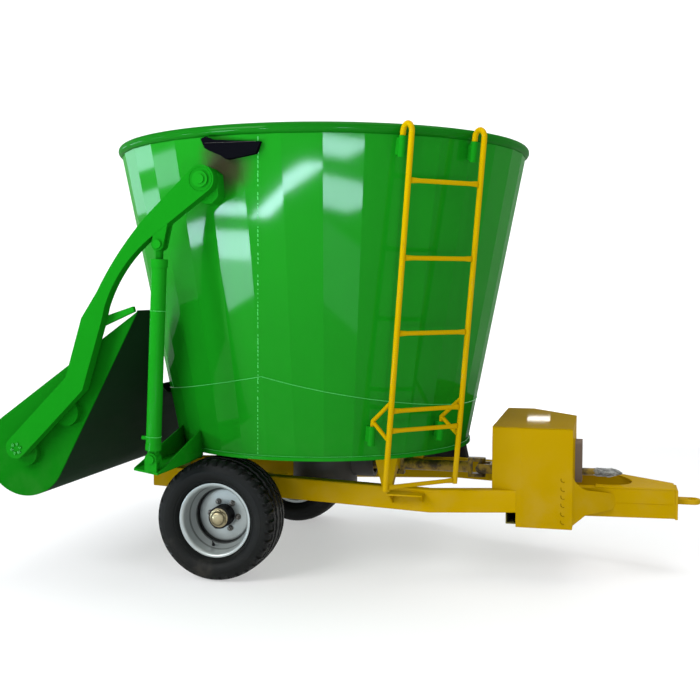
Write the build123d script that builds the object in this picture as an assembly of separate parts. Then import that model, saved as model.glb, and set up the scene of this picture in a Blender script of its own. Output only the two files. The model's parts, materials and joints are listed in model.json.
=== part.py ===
from build123d import *
import os
from math import asin, atan2, ceil, cos, degrees, hypot, pi, radians, sin

# Vertical feed mixer wagon: a faceted conical tub with a standing auger, on a two-wheeled chassis,
# with a drawbar in front and a rear loading hopper on two lift arms.
# Working frame: X forward, Y left, Z up, tub axis at X = Y = 0, ground at Z = 0, millimetres.
# The finished pieces are moved along X so that the origin is below the middle of the wagon.

LOW = (Align.CENTER, Align.CENTER, Align.MIN)

# General clearances
RUNNING = 0.05          # radial, on a pin or shaft that turns in a bore
LOOSE = 0.3             # between faces that move past each other
SEAT = 0.2              # between a piece and the part that carries it

# Tub
FACETS = 36
SEAM_AZIMUTH = 265.0    # the two half shells meet here and on the opposite side
FLOOR_BOTTOM_Z = 714.0
FLOOR_T = 20.0
FLOOR_LIP = 10.0
TUB_TOP_Z = 2464.0
CUT_MARGIN = 300.0      # how far a cutting body reaches past what it cuts
TUB_R_BOTTOM = 912.0
TUB_R_TOP = 1249.0
TUB_WALL = 8.0
RIM_TUBE_R = 28.5

# Auger and its gearbox
AUGER_CORE_R_BOTTOM = 150.0
AUGER_CORE_R_TOP = 100.0
AUGER_CORE_WALL = 12.0
AUGER_CORE_H = 1300.0
AUGER_FLOOR_GAP = 14.0
FLIGHT_TURNS = 2.25
FLIGHT_STEP = 15.0
FLIGHT_T = 15.0
FLIGHT_RISE = 1190.0
FLIGHT_R_BOTTOM = 840.0
FLIGHT_R_TOP = 300.0
FLIGHT_CORE_GAP = 1.6
KNIFE_COUNT = 7
KNIFE_LENGTH = 210.0
KNIFE_WIDTH = 95.0
KNIFE_T = 10.0
KNIFE_OVERHANG = 38.0
SPINDLE_R = 60.0
SPINDLE_HUB_T = 25.0
GEARBOX_R = 205.0
GEARBOX_WALL = 18.0
GEARBOX_H = 270.0
GEARBOX_FLANGE_R = 270.0
GEARBOX_FLANGE_T = 20.0
CROWN_R = 150.0
CROWN_T = 34.0
PINION_R = 50.0
NECK_R = 85.0
NECK_REACH = 330.0
NECK_BEARING_W = 50.0
NECK_BEARING_INSET = 20.0
UPPER_BEARING_DROP = 24.0
LOWER_BEARING_W = 30.0
SPINDLE_BEARING_R = 92.0
NECK_BEARING_R = 62.0
SPINDLE_ABOVE_HUB = 60.0
FLOOR_BORE_GAP = 20.0

# Driveline, all on one line below the tub floor
DRIVE_Z = 565.0
PINION_SHAFT_R = 35.0
JOINT_REAR_X = 440.0
JOINT_FRONT_X = 1000.0
YOKE_EAR_T = 22.0
YOKE_SPAN = 118.0       # across the outside of the two ears
YOKE_EAR_W = 56.0
YOKE_DEPTH = 78.0       # from the joint's centre to the back of the fork
CROSS_R = 17.0
CARDAN_TUBE_R = 34.0
INPUT_SHAFT_R = 22.5
STUB_R = 17.45          # 35 mm power take-off stub
STUB_LENGTH = 95.0
STUB_SPLINES = 6
SPLINE_DEPTH = 2.9
SPLINE_GAP = 8.6
STUB_FRONT_X = 1815.0
WRAP_R = 29.0
WRAP_LENGTH = 172.0

# Chassis
WHEEL_R = 350.0
AXLE_X = -408.0
AXLE_SQUARE = 90.0
BEAM_W = 80.0
BEAM_H = 130.0
BEAM_WALL = 6.0
BEAM_REAR = (-1085.0, 184.0)
BEAM_KINK = (780.0, 560.0)
BEAM_FRONT_Y = 445.0
CROSS_BEAM_DEPTH = 60.0
CROSS_BEAM_H = 74.0
CROSS_BEAM_INSET = 12.0
POST_X = (518.0, -560.0)
POST_TOP = (145.0, 110.0)
POST_FOOT = (62.0, 62.0)
CLAMP_T = 14.0
CLAMP_BOLT_R = 9.0
CLAMP_PAST_BEAM = 42.0
CLAMP_HALF_X = 90.0
CLAMP_BOLT_X = 66.0
CLAMP_BOLT_INSET = 12.0
CLAMP_BOLT_PAST = 30.0
AXLE_TYRE_GAP = 30.0
STEP_LENGTH = 205.0
STEP_REACH = 130.0
STEP_T = 8.0
STEP_GUSSET_H = 95.0
STEP_OVER_BEAM = 30.0
STEP_BEHIND_KINK = 30.0
STEP_BELOW_TOP = 18.0

# Drive box and drawbar
BOX_REAR_X = 1118.0
BOX_STEP_X = 1255.0
BOX_FRONT_X = 1570.0
BOX_HALF_W = 490.0
BOX_BOTTOM_Z = 315.0
BOX_TOP_Z = 878.0
BOX_WALL = 6.0
BOX_LID_T = 6.0
BOX_REAR_TAPER = 25.0
BOX_CORNER_X = 280.0    # cut of the far front corner
BOX_CORNER_Y = 320.0
NOSE_X = 2145.0
NOSE_T = 16.0
DRAWBAR_W = 80.0
DRAWBAR_ROOT_Y = 300.0
DRAWBAR_NOSE_Y = 60.0
DRAWBAR_H = 166.0
DRAWBAR_ROOT_Z = 366.0
DRAWBAR_NOSE_Z = 324.0
TOP_PLATE_T = 10.0
TOP_PLATE_REAR_X = 1690.0
EYE_X = 2247.0
EYE_Z = 416.0
EYE_R = 45.0
EYE_BORE_R = 25.0
EYE_T = 30.0
GUSSET_T = 12.0
GUSSET_REACH = 235.0
BEARING_W = 40.0
BEARING_SIDE = 120.0
BEARING_SHIELD_Z = 758.0

# Wheels
WHEEL_TRACK_Y = 779.0
TYRE_W = 320.0
TREAD_HALF_W = 132.0
TYRE_SHOULDER = 12.0
TYRE_WALL = 36.0
TYRE_BEAD = 26.0
RIM_W = 230.0
RIM_LIP_R = 214.0
RIM_SEAT_R = 192.0
RIM_WELL_R = 168.0
RIM_T = 6.0
RIM_WELL_W = 56.0
DISC_INSET = 160.0      # from the outer lip to the face of the wheel disc
DISC_T = 12.0
DISC_R = 150.0
HUB_R = 64.0
HUB_FLANGE_R = 112.0
HUB_FLANGE_T = 16.0
HUB_OUT = 90.0          # hub barrel beyond the wheel disc
HUB_CAP_OUT = 36.0
HUB_CAP_R = 50.0
HUB_RECESS = 16.0
HUB_TAIL = 50.0
SPINDLE_WHEEL_R = 30.0
NUT_COUNT = 6
NUT_TURN = 55.0         # angle of the first nut
NUT_PCD = 170.0
NUT_AF = 27.0
NUT_H = 16.0
STUD_R = 9.0

# Loading hopper and lift arms
ARM_TUB_GAP = 16.0      # from the tub's largest radius to an arm's inner face
ARM_INNER_Y = TUB_R_TOP + ARM_TUB_GAP
ARM_W = 70.0
ARM_PLATE_T = 10.0
ARM_FLANGE_T = 9.0
PIVOT_BELOW_TOP = 233.0
ARM_PIVOT = (-297.0, TUB_TOP_Z - PIVOT_BELOW_TOP)
ARM_END_R = 74.0
ARM_PIN_R = 25.0
ARM_BOSS_R = 50.0
LEG_END = (-1395.0, 795.0)
LEG_HALF_W = 59.0
LEG_ANGLE = 225.0
LEG_UPPER = 500.0       # length of the leg's upper and lower edge
LEG_LOWER = 520.0
ARM_ANGLE = 220.3
ARM_UNDERSIDE = ((-263.0, -283.0), (-438.0, -451.0), (-551.0, -661.0), (-571.0, -741.0))     # from the pivot
ARM_TOPSIDE = ((-688.0, -721.0), (-596.0, -583.0), (-471.0, -383.0), (-306.0, -185.0))
CHEEK_OUTLINE = (
    (-62.0, -34.0), (-50.0, 50.0), (30.0, 64.0), (70.0, 34.0), (70.0, -84.0), (36.0, -120.0), (-20.0, -120.0),
)
PIVOT_HEAD_R = 42.0
PIVOT_HEAD_T = 8.0
RIM_BRACKET_AT = (-16.0, -14.0)     # from the arm's pivot, and from the tub's top edge
RIM_BRACKET = (
    (-10.0, -2.0), (22.0, 8.0), (64.0, -10.0), (320.0, -27.0), (293.0, -86.0),
    (235.0, -97.0), (128.0, -111.0), (101.0, -92.0), (37.0, -66.0), (11.0, -51.0),
)
HOPPER_APEX = (-709.0, 1547.0)
HOPPER_ROUND = (-1405.0, 750.0)
HOPPER_ROUND_R = 243.0
HOPPER_ARM_GAP = 43.0
HOPPER_HALF_W = ARM_INNER_Y - HOPPER_ARM_GAP
HOPPER_SHEET_T = 8.0
HOPPER_SIDE_T = 10.0
HOPPER_TUB_GAP = 55.0
SPACER_R = 76.0
SPACER_SPOTS = ((-1382.0, 760.0), (-1128.0, 992.0))
SPACER_BOLTS = 6
BOLT_RING_SPOT = (-1390.0, 792.0)
SPACER_BOLT_CIRCLE_R = 26.0
SPACER_BOLT_R = 9.0
SPACER_BOLT_H = 7.0
TIE_H = 50.0
TIE_T = 28.0
TIE_FROM_PIVOT = (-608.0, -745.0)

# Lift cylinders
LUG_FROM_PIVOT = (-243.0, -331.0)
LIFT_LUG = (ARM_PIVOT[0] + LUG_FROM_PIVOT[0], ARM_PIVOT[1] + LUG_FROM_PIVOT[1])
LIFT_FOOT = (-593.0, 763.0)
BARREL_R = 40.0
BARREL_BORE_R = 32.0
ROD_SHOWS = 78.0        # of the rod, with the hopper down
BARREL_LENGTH = hypot(LIFT_LUG[0] - LIFT_FOOT[0], LIFT_LUG[1] - LIFT_FOOT[1]) - ROD_SHOWS
BARREL_BASE_T = 16.0
BARREL_COLLAR_T = 2.0
BARREL_COLLAR_H = 34.0
PORT_R = 11.0
PORT_UP = 62.0
PORT_REACH = 26.0
PISTON_H = 40.0
PISTON_GAP = 3.0
GLAND_R = 45.0
GLAND_H = 44.0
ROD_R = 20.0
EYE_OUTER_R = 34.0
EYE_WIDTH = 36.0
EYE_NECK = 12.0
LIFT_PIN_R = 16.0
EAR_GAP = 2.0
PIN_HEAD_T = 12.0
PIN_HEAD_RIM = 7.0
LUG_T = 14.0
LUG_OUTLINE = ((-34.0, 6.0), (-20.0, 62.0), (62.0, 118.0), (31.0, -14.0))
FOOT_BASE_Z = 695.0
FOOT_BASE_T = 12.0
FOOT_FRONT_X = -545.0
FOOT_REAR_X = -735.0
FOOT_PAST_PIN = 52.0     # corner of the shelf beyond the pin's middle
FOOT_BEFORE_PIN = 60.0
FOOT_GUSSET_T = 10.0
FOOT_GUSSET_TOP = 150.0

# Discharge door on the left front side
DOOR_AZIMUTH = 60.0
DOOR_Z = 1025.0
DOOR_W = 640.0
DOOR_H = 420.0
DOOR_FRAME_W = 60.0
DOOR_FRAME_OUT = 60.0
DOOR_OVERLAP = 30.0
DOOR_T = 10.0
DOOR_TRAVEL = 400.0
DOOR_GUIDE_T = 10.0
DOOR_BARREL_R = 28.0
DOOR_BARREL_BORE_R = 22.0
DOOR_ROD_R = 13.0
TOP_BAR_H = 44.0
TOP_BAR_T = 24.0
CHUTE_DROP = 330.0
CHUTE_REACH = 190.0
CHUTE_T = 6.0
CHUTE_CHEEK = 60.0

# Ladder on the right front side
LADDER_AZIMUTH = 313.7
LADDER_FOOT_GAP = 193.0  # from the tub's lower radius to the rails
LADDER_FOOT_Z = 580.0
LADDER_RIM_GAP = 108.0   # from the tub's upper radius to the rails
LADDER_HALF_W = 228.0
LADDER_HEIGHT = 1900.0
LADDER_TUBE_R = 15.0
LADDER_RUNG_R = 12.0
LADDER_BEND_R = 41.0
RUNG_HEIGHTS = (18.0, 332.0, 441.0, 860.0, 1258.0, 1656.0)
HOOK_R = 11.0
SOCKET_R = 20.0
SOCKET_BORE_R = 13.0
SOCKET_H = 110.0
SOCKET_WEB = 140.0
SOCKET_WEB_T = 10.0
HOOK_DROP = 92.0
HOOK_SHOULDER = 20.0    # from the bend down to the end of the thick tube
LOWER_HOOK_HEIGHT = 342.0
HOOK_STRUT_UP = 150.0
HOOK_STRUT_DOWN = 66.0
LOWER_HOOK_REACH = 178.0
LOWER_HOOK_DROP = 70.0


# Shared helpers
def block(x0, x1, y0, y1, z0, z1):
    """Box between two corners."""
    size = Box(abs(x1 - x0), abs(y1 - y0), abs(z1 - z0))
    return Pos((x0 + x1) / 2, (y0 + y1) / 2, (z0 + z1) / 2) * size


def rod(start, end, radius):
    """Round bar from one point to another."""
    way = Vector(*end) - Vector(*start)
    return Plane(origin=start, z_dir=way) * Cylinder(radius, way.length, align=LOW)


def prism_y(face, y0, y1):
    """Face drawn in X and Z, made solid from y0 to y1."""
    return extrude(Plane((0, y1, 0), x_dir=(1, 0, 0), z_dir=(0, -1, 0)) * face, y1 - y0, dir=(0, -1, 0))


def plate_on(plane, face, thickness):
    """Face drawn on a plane, made solid along the plane's normal."""
    return extrude(plane * face, thickness, dir=plane.z_dir)


def prism_z(face, z0, z1):
    """Face drawn in X and Y, made solid from z0 to z1."""
    return extrude(Pos(0, 0, z0) * face, z1 - z0, dir=(0, 0, 1))


def turned(points, axis_plane):
    """Solid of revolution of an outline whose second coordinate runs along the plane's Y."""
    return revolve(axis_plane * Polygon(*points, align=None), Axis(axis_plane.origin, axis_plane.y_dir))


def other_side(part):
    """The same piece on the other side of the wagon."""
    return mirror(part, about=Plane.XZ)


def pair(right_piece):
    """Two like pieces, right and left."""
    return Compound([right_piece, other_side(right_piece)])


def on_line(start, end, share):
    """Point at a share of the way between two points."""
    return tuple(a + (b - a) * share for a, b in zip(start, end))


# Tub
TUB_FLOOR_Z = FLOOR_BOTTOM_Z + FLOOR_T
TUB_SLOPE = (TUB_R_TOP - TUB_R_BOTTOM) / (TUB_TOP_Z - TUB_FLOOR_Z)
FACET_COS = cos(pi / FACETS)
RIM_R = TUB_R_TOP - TUB_WALL + 2
RIM_Z = TUB_TOP_Z + RIM_TUBE_R


def tub_radius(z):
    """Corner radius of the tub's outside at a height."""
    return TUB_R_BOTTOM + (z - TUB_FLOOR_Z) * TUB_SLOPE


def tub_solid(z0, z1, grow=0.0):
    """Faceted cone of the tub between two heights."""
    ends = [
        Pos(0, 0, z) * RegularPolygon(tub_radius(z) + grow, FACETS, rotation=SEAM_AZIMUTH)
        for z in (z0, z1)
    ]
    return loft(ends, ruled=True)


def wall_plane(azimuth, z, tilt=None):
    """Plane that lies on the tub's wall: X along the wall, Y up the wall, Z outwards."""
    lean = degrees(atan2(TUB_SLOPE * FACET_COS, 1)) if tilt is None else tilt
    a, b = radians(azimuth), radians(lean)
    reach = tub_radius(z) * FACET_COS
    out = (cos(b) * cos(a), cos(b) * sin(a), -sin(b))
    return Plane((reach * cos(a), reach * sin(a), z), x_dir=(-sin(a), cos(a), 0), z_dir=out)


DOOR_PLANE = wall_plane(DOOR_AZIMUTH, DOOR_Z)
TUB_ENVELOPE = tub_solid(FLOOR_BOTTOM_Z - CUT_MARGIN, TUB_TOP_Z)


def make_tub():
    shell = tub_solid(TUB_FLOOR_Z, TUB_TOP_Z) - tub_solid(TUB_FLOOR_Z, TUB_TOP_Z, -TUB_WALL)
    shell -= DOOR_PLANE * Box(DOOR_W, DOOR_H, TUB_R_BOTTOM)
    reach = 2 * TUB_R_TOP
    front_side = Rot(0, 0, SEAM_AZIMUTH) * block(-reach, reach, 0, reach, 0, 2 * TUB_TOP_Z)
    floor = Pos(0, 0, FLOOR_BOTTOM_Z) * Cylinder(TUB_R_BOTTOM + FLOOR_LIP, FLOOR_T, align=LOW)
    floor -= Pos(0, 0, FLOOR_BOTTOM_Z) * Cylinder(SPINDLE_R + FLOOR_BORE_GAP, FLOOR_T, align=LOW)
    return {
        "tub_front_half": shell & front_side,
        "tub_rear_half": shell - front_side,
        "tub_floor": floor,
        "rim_tube": Pos(0, 0, RIM_Z) * Torus(RIM_R, RIM_TUBE_R),
    }


# Auger, spindle and crown wheel
AUGER_Z = TUB_FLOOR_Z + AUGER_FLOOR_GAP
FLIGHT_Z = AUGER_Z + FLIGHT_T
GEARBOX_TOP_Z = FLOOR_BOTTOM_Z - GEARBOX_FLANGE_T
GEARBOX_BOTTOM_Z = FLOOR_BOTTOM_Z - GEARBOX_H - GEARBOX_FLANGE_T


def core_radius(z):
    """Outside radius of the auger's tapered tube."""
    return AUGER_CORE_R_BOTTOM + (AUGER_CORE_R_TOP - AUGER_CORE_R_BOTTOM) * (z - AUGER_Z) / AUGER_CORE_H


def flight_point(share):
    """Angle, outer radius and height at a share of the flight's length."""
    edge = FLIGHT_R_TOP + (FLIGHT_R_BOTTOM - FLIGHT_R_TOP) * (1 - share) ** 1.25
    return 360 * FLIGHT_TURNS * share, edge, FLIGHT_Z + FLIGHT_RISE * share


def make_flight():
    """Spiral plate round the core, in short flat-sided stretches."""
    steps = ceil(360 * FLIGHT_TURNS / FLIGHT_STEP)
    sections = []
    for i in range(steps + 1):
        angle, edge, z = flight_point(i / steps)
        inner = core_radius(z) + FLIGHT_CORE_GAP
        outline = Polygon((inner, z), (edge, z), (edge, z + FLIGHT_T), (inner, z + FLIGHT_T), align=None)
        sections.append(Rot(0, 0, angle) * (Plane.XZ * outline))
    stretches = [loft([a, b], ruled=True) for a, b in zip(sections, sections[1:])]
    return stretches[0].fuse(*stretches[1:])


def make_knife(share):
    """Blade bolted on top of the flight, reaching past its edge."""
    angle, edge, z = flight_point(share)
    rise = FLIGHT_RISE / (radians(360 * FLIGHT_TURNS) * edge)
    a = radians(angle)
    ahead = Vector(-sin(a), cos(a), rise).normalized()
    outward = Vector(cos(a), sin(a), 0)
    top = Vector(edge * cos(a), edge * sin(a), z + FLIGHT_T)
    blade = Polygon(
        (KNIFE_OVERHANG - KNIFE_WIDTH, -KNIFE_LENGTH / 2), (KNIFE_OVERHANG * 0.4, -KNIFE_LENGTH / 2),
        (KNIFE_OVERHANG, KNIFE_LENGTH * 0.2), (KNIFE_OVERHANG * 0.6, KNIFE_LENGTH / 2),
        (KNIFE_OVERHANG - KNIFE_WIDTH, KNIFE_LENGTH * 0.3), align=None,
    )
    return plate_on(Plane(top, x_dir=outward, z_dir=outward.cross(ahead)), blade, KNIFE_T)


def make_auger():
    core = Pos(0, 0, AUGER_Z) * Cone(AUGER_CORE_R_BOTTOM, AUGER_CORE_R_TOP, AUGER_CORE_H, align=LOW)
    hollow_h = AUGER_CORE_H - AUGER_CORE_WALL
    core -= Pos(0, 0, AUGER_Z) * Cone(
        AUGER_CORE_R_BOTTOM - AUGER_CORE_WALL, AUGER_CORE_R_TOP - AUGER_CORE_WALL, hollow_h, align=LOW
    )
    hub_z = AUGER_Z + AUGER_CORE_WALL
    hub_r = core_radius(hub_z + SPINDLE_HUB_T) - AUGER_CORE_WALL - LOOSE
    spindle_bottom = GEARBOX_BOTTOM_Z + GEARBOX_WALL + SEAT
    spindle_h = hub_z + SPINDLE_ABOVE_HUB - spindle_bottom
    spindle = Pos(0, 0, spindle_bottom) * Cylinder(SPINDLE_R, spindle_h, align=LOW)
    spindle += Pos(0, 0, hub_z) * Cylinder(hub_r, SPINDLE_HUB_T, align=LOW)
    bore = SPINDLE_R + SEAT
    crown_top = PINION_R + CROWN_T
    crown = turned(
        [(bore, crown_top), (bore, PINION_R * bore / CROWN_R), (CROWN_R, PINION_R), (CROWN_R, crown_top)],
        Plane((0, 0, DRIVE_Z), x_dir=(1, 0, 0), z_dir=(0, -1, 0)),
    )
    flight = make_flight()
    shares = [(i + 0.6) / (KNIFE_COUNT + 0.4) for i in range(KNIFE_COUNT)]
    return {
        "auger_core": core,
        "auger_flight": flight,
        "auger_knives": Compound([make_knife(share) - flight for share in shares]),
        "auger_spindle": spindle,
        "crown_wheel": crown,
    }


# Gearbox below the floor, with the bearings of the whole drive
def ring_z(z0, z1, inner, outer):
    return Pos(0, 0, z0) * (Cylinder(outer, z1 - z0, align=LOW) - Cylinder(inner, z1 - z0, align=LOW))


def bar_x(x0, x1, radius):
    """Round bar along the drive line."""
    return Plane((x0, 0, DRIVE_Z), x_dir=(0, 1, 0), z_dir=(1, 0, 0)) * Cylinder(radius, x1 - x0, align=LOW)


NECK_BEARING = (NECK_REACH - NECK_BEARING_INSET - NECK_BEARING_W, NECK_REACH - NECK_BEARING_INSET)
UPPER_BEARING = (GEARBOX_TOP_Z - UPPER_BEARING_DROP, GEARBOX_TOP_Z + GEARBOX_FLANGE_T)
CAVITY_Z = GEARBOX_BOTTOM_Z + GEARBOX_WALL
LOWER_BEARING = (CAVITY_Z, CAVITY_Z + LOWER_BEARING_W)


def make_gearbox():
    housing = Pos(0, 0, GEARBOX_BOTTOM_Z) * Cylinder(GEARBOX_R, GEARBOX_H, align=LOW)
    housing += Pos(0, 0, GEARBOX_TOP_Z) * Cylinder(GEARBOX_FLANGE_R, GEARBOX_FLANGE_T, align=LOW)
    housing += bar_x(0, NECK_REACH, NECK_R)
    cavity_r = GEARBOX_R - GEARBOX_WALL
    housing -= Pos(0, 0, CAVITY_Z) * Cylinder(SPINDLE_BEARING_R, FLOOR_BOTTOM_Z - CAVITY_Z, align=LOW)
    housing -= Pos(0, 0, CAVITY_Z) * Cylinder(cavity_r, UPPER_BEARING[0] - CAVITY_Z, align=LOW)
    housing -= bar_x(0, NECK_REACH, NECK_BEARING_R)
    return {"gearbox_housing": housing}


def make_bearings():
    spindle_inner = SPINDLE_R + RUNNING
    rings = [
        ring_z(*UPPER_BEARING, spindle_inner, SPINDLE_BEARING_R),
        ring_z(*LOWER_BEARING, spindle_inner, SPINDLE_BEARING_R),
        bar_x(*NECK_BEARING, NECK_BEARING_R) - bar_x(*NECK_BEARING, PINION_SHAFT_R + RUNNING),
    ]
    blocks = []
    half = BEARING_SIDE / 2
    for x0, top in ((BOX_REAR_X - BEARING_W, DRIVE_Z + half), (BOX_FRONT_X, BEARING_SHIELD_Z)):
        x1 = x0 + BEARING_W
        body = block(x0, x1, -half, half, DRIVE_Z - half, top)
        body = fillet(body.edges().filter_by(Axis.X), BEARING_SIDE / 5)
        blocks.append(body - bar_x(x0, x1, INPUT_SHAFT_R + RUNNING))
    return {"drive_bearings": Compound(rings + blocks)}


# Driveline: pinion shaft, cardan shaft, input shaft
def fork(centre_x, direction, turn):
    """Fork of a universal joint that opens towards its centre from one side."""
    half = YOKE_SPAN / 2
    back = centre_x - direction * YOKE_DEPTH
    web = centre_x - direction * (YOKE_DEPTH - YOKE_EAR_T)
    plate = block(back, web, -half, half, -YOKE_EAR_W / 2, YOKE_EAR_W / 2)
    ears = Part()
    for side in (-1, 1):
        y0, y1 = side * half, side * (half - YOKE_EAR_T)
        ears += block(back, centre_x, y0, y1, -YOKE_EAR_W / 2, YOKE_EAR_W / 2)
        ears += rod((centre_x, y0, 0), (centre_x, y1, 0), YOKE_EAR_W / 2)
    body = plate + ears
    body -= rod((centre_x, -half, 0), (centre_x, half, 0), CROSS_R + SEAT)
    return Pos(0, 0, DRIVE_Z) * Rot(turn, 0, 0) * body


def cross(centre_x):
    """Spider of a universal joint, with a cap on each end."""
    half = YOKE_SPAN / 2
    body = rod((centre_x, -half, 0), (centre_x, half, 0), CROSS_R)
    body += rod((centre_x, 0, -half), (centre_x, 0, half), CROSS_R)
    return Pos(0, 0, DRIVE_Z) * body


def make_driveline():
    pinion_front = CROWN_R
    pinion_back = CROWN_R * 0.62
    pinion_shaft = turned(
        [(0, pinion_back), (PINION_R * 0.62 - 1, pinion_back), (PINION_R - 1, pinion_front),
         (PINION_SHAFT_R, pinion_front + 10), (PINION_SHAFT_R, JOINT_REAR_X - YOKE_DEPTH + 1),
         (0, JOINT_REAR_X - YOKE_DEPTH + 1)],
        Plane((0, 0, DRIVE_Z), x_dir=(0, 1, 0), z_dir=(0, 0, -1)),
    )
    pinion_shaft += fork(JOINT_REAR_X, 1, 0)
    tube = bar_x(JOINT_REAR_X + YOKE_DEPTH - 1, JOINT_FRONT_X - YOKE_DEPTH + 1, CARDAN_TUBE_R)
    cardan = tube + fork(JOINT_REAR_X, -1, 90) + fork(JOINT_FRONT_X, 1, 90)
    stub_rear = STUB_FRONT_X - STUB_LENGTH
    input_shaft = bar_x(JOINT_FRONT_X + YOKE_DEPTH - 1, stub_rear, INPUT_SHAFT_R)
    input_shaft += fork(JOINT_FRONT_X, -1, 0)
    stub = bar_x(stub_rear - 1, STUB_FRONT_X, STUB_R)
    for i in range(STUB_SPLINES):
        groove = block(
            stub_rear, STUB_FRONT_X, STUB_R - SPLINE_DEPTH, 2 * STUB_R, -SPLINE_GAP / 2, SPLINE_GAP / 2
        )
        stub -= Pos(0, 0, DRIVE_Z) * Rot(360 / STUB_SPLINES * i, 0, 0) * groove
    input_shaft += stub
    wrap_start = STUB_FRONT_X + 32 - WRAP_LENGTH
    wrap = turned(
        [(0, wrap_start), (WRAP_R * 0.88, wrap_start), (WRAP_R, wrap_start + WRAP_LENGTH * 0.25),
         (WRAP_R * 0.95, wrap_start + WRAP_LENGTH * 0.75), (WRAP_R * 0.3, wrap_start + WRAP_LENGTH),
         (0, wrap_start + WRAP_LENGTH)],
        Plane((0, 0, DRIVE_Z), x_dir=(0, 1, 0), z_dir=(0, 0, -1)),
    )
    wrap -= bar_x(wrap_start - 1, stub_rear + SEAT, INPUT_SHAFT_R + SEAT)
    wrap -= bar_x(stub_rear - 1, STUB_FRONT_X + SEAT, STUB_R + SEAT)
    return {
        "pinion_shaft": pinion_shaft,
        "cardan_shaft": cardan,
        "cardan_crosses": Compound([cross(JOINT_REAR_X), cross(JOINT_FRONT_X)]),
        "input_shaft": input_shaft,
        "pto_wrap": wrap,
    }


# Chassis
BEAM_BOTTOM_Z = WHEEL_R + AXLE_SQUARE / 2
BEAM_TOP_Z = BEAM_BOTTOM_Z + BEAM_H
BEAM_POINTS = (BEAM_REAR, BEAM_KINK, (BOX_STEP_X, BEAM_FRONT_Y))
BEAM_ANGLE = atan2(BEAM_KINK[1] - BEAM_REAR[1], BEAM_KINK[0] - BEAM_REAR[0])


def beam_outline(half_w, past_ends=0.0):
    """Plan outline of the left side beam, mitred at its kink."""
    points = [Vector(*p) for p in BEAM_POINTS]
    first = (points[1] - points[0]).normalized()
    second = (points[2] - points[1]).normalized()
    across = [Vector(-d.Y, d.X) for d in (first, second)]
    middle = (across[0] + across[1]).normalized()
    middle = middle * (1 / middle.dot(across[0]))
    cut = Vector(0, 1) * (1 / across[1].Y)
    rear = points[0] - first * past_ends
    front = points[2] + second * past_ends
    ends = [(rear, across[0]), (points[1], middle), (front, cut)]
    left = [p + n * half_w for p, n in ends]
    right = [p - n * half_w for p, n in reversed(ends)]
    return Polygon(*[(p.X, p.Y) for p in left + right], align=None)


def beam_y(x):
    """Plan distance of the side beam's middle line from the wagon's middle."""
    if x < BEAM_KINK[0]:
        return on_line(BEAM_REAR, BEAM_KINK, (x - BEAM_REAR[0]) / (BEAM_KINK[0] - BEAM_REAR[0]))[1]
    share = (x - BEAM_KINK[0]) / (BOX_STEP_X - BEAM_KINK[0])
    return on_line(BEAM_KINK, (BOX_STEP_X, BEAM_FRONT_Y), share)[1]


def side_beam():
    beam = prism_z(beam_outline(BEAM_W / 2), BEAM_BOTTOM_Z, BEAM_TOP_Z)
    beam = fillet(beam.edges().filter_by(GeomType.LINE).filter_by(lambda e: abs(e.tangent_at(0.5).Z) < 0.01)
                  .filter_by(lambda e: e.length > 2 * BEAM_W), BEAM_WALL * 1.5)
    hollow = beam_outline(BEAM_W / 2 - BEAM_WALL, 10)
    return beam - prism_z(hollow, BEAM_BOTTOM_Z + BEAM_WALL, BEAM_TOP_Z - BEAM_WALL)


def cross_beams():
    x0 = BEAM_REAR[0] + CROSS_BEAM_INSET
    x1 = x0 + BEAM_W
    y0, y1 = (beam_y(x) - BEAM_W / 2 / cos(BEAM_ANGLE) - SEAT for x in (x0, x1))
    plan = Polygon((x0, -y0), (x1, -y1), (x1, y1), (x0, y0), align=None)
    rear = prism_z(plan, BEAM_BOTTOM_Z + CROSS_BEAM_INSET, BEAM_TOP_Z - CROSS_BEAM_INSET)
    front_x = BOX_STEP_X - CROSS_BEAM_DEPTH - SEAT
    front = block(
        front_x, front_x + CROSS_BEAM_DEPTH, -BEAM_FRONT_Y, BEAM_FRONT_Y,
        BEAM_BOTTOM_Z - CROSS_BEAM_H, BEAM_BOTTOM_Z,
    )
    front -= block(
        front_x + BEAM_WALL, front_x + CROSS_BEAM_DEPTH - BEAM_WALL, -2 * BEAM_FRONT_Y, 2 * BEAM_FRONT_Y,
        BEAM_BOTTOM_Z - CROSS_BEAM_H + BEAM_WALL, BEAM_BOTTOM_Z - BEAM_WALL,
    )
    return Compound([rear, front])


def tub_posts():
    posts = []
    for x in POST_X:
        for side in (-1, 1):
            y = side * beam_y(x)
            foot = Pos(x, y, BEAM_TOP_Z) * Rectangle(*POST_FOOT)
            top = Pos(x, y, FLOOR_BOTTOM_Z) * Rectangle(*POST_TOP)
            posts.append(loft([foot, top], ruled=True))
    return Compound(posts)


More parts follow.
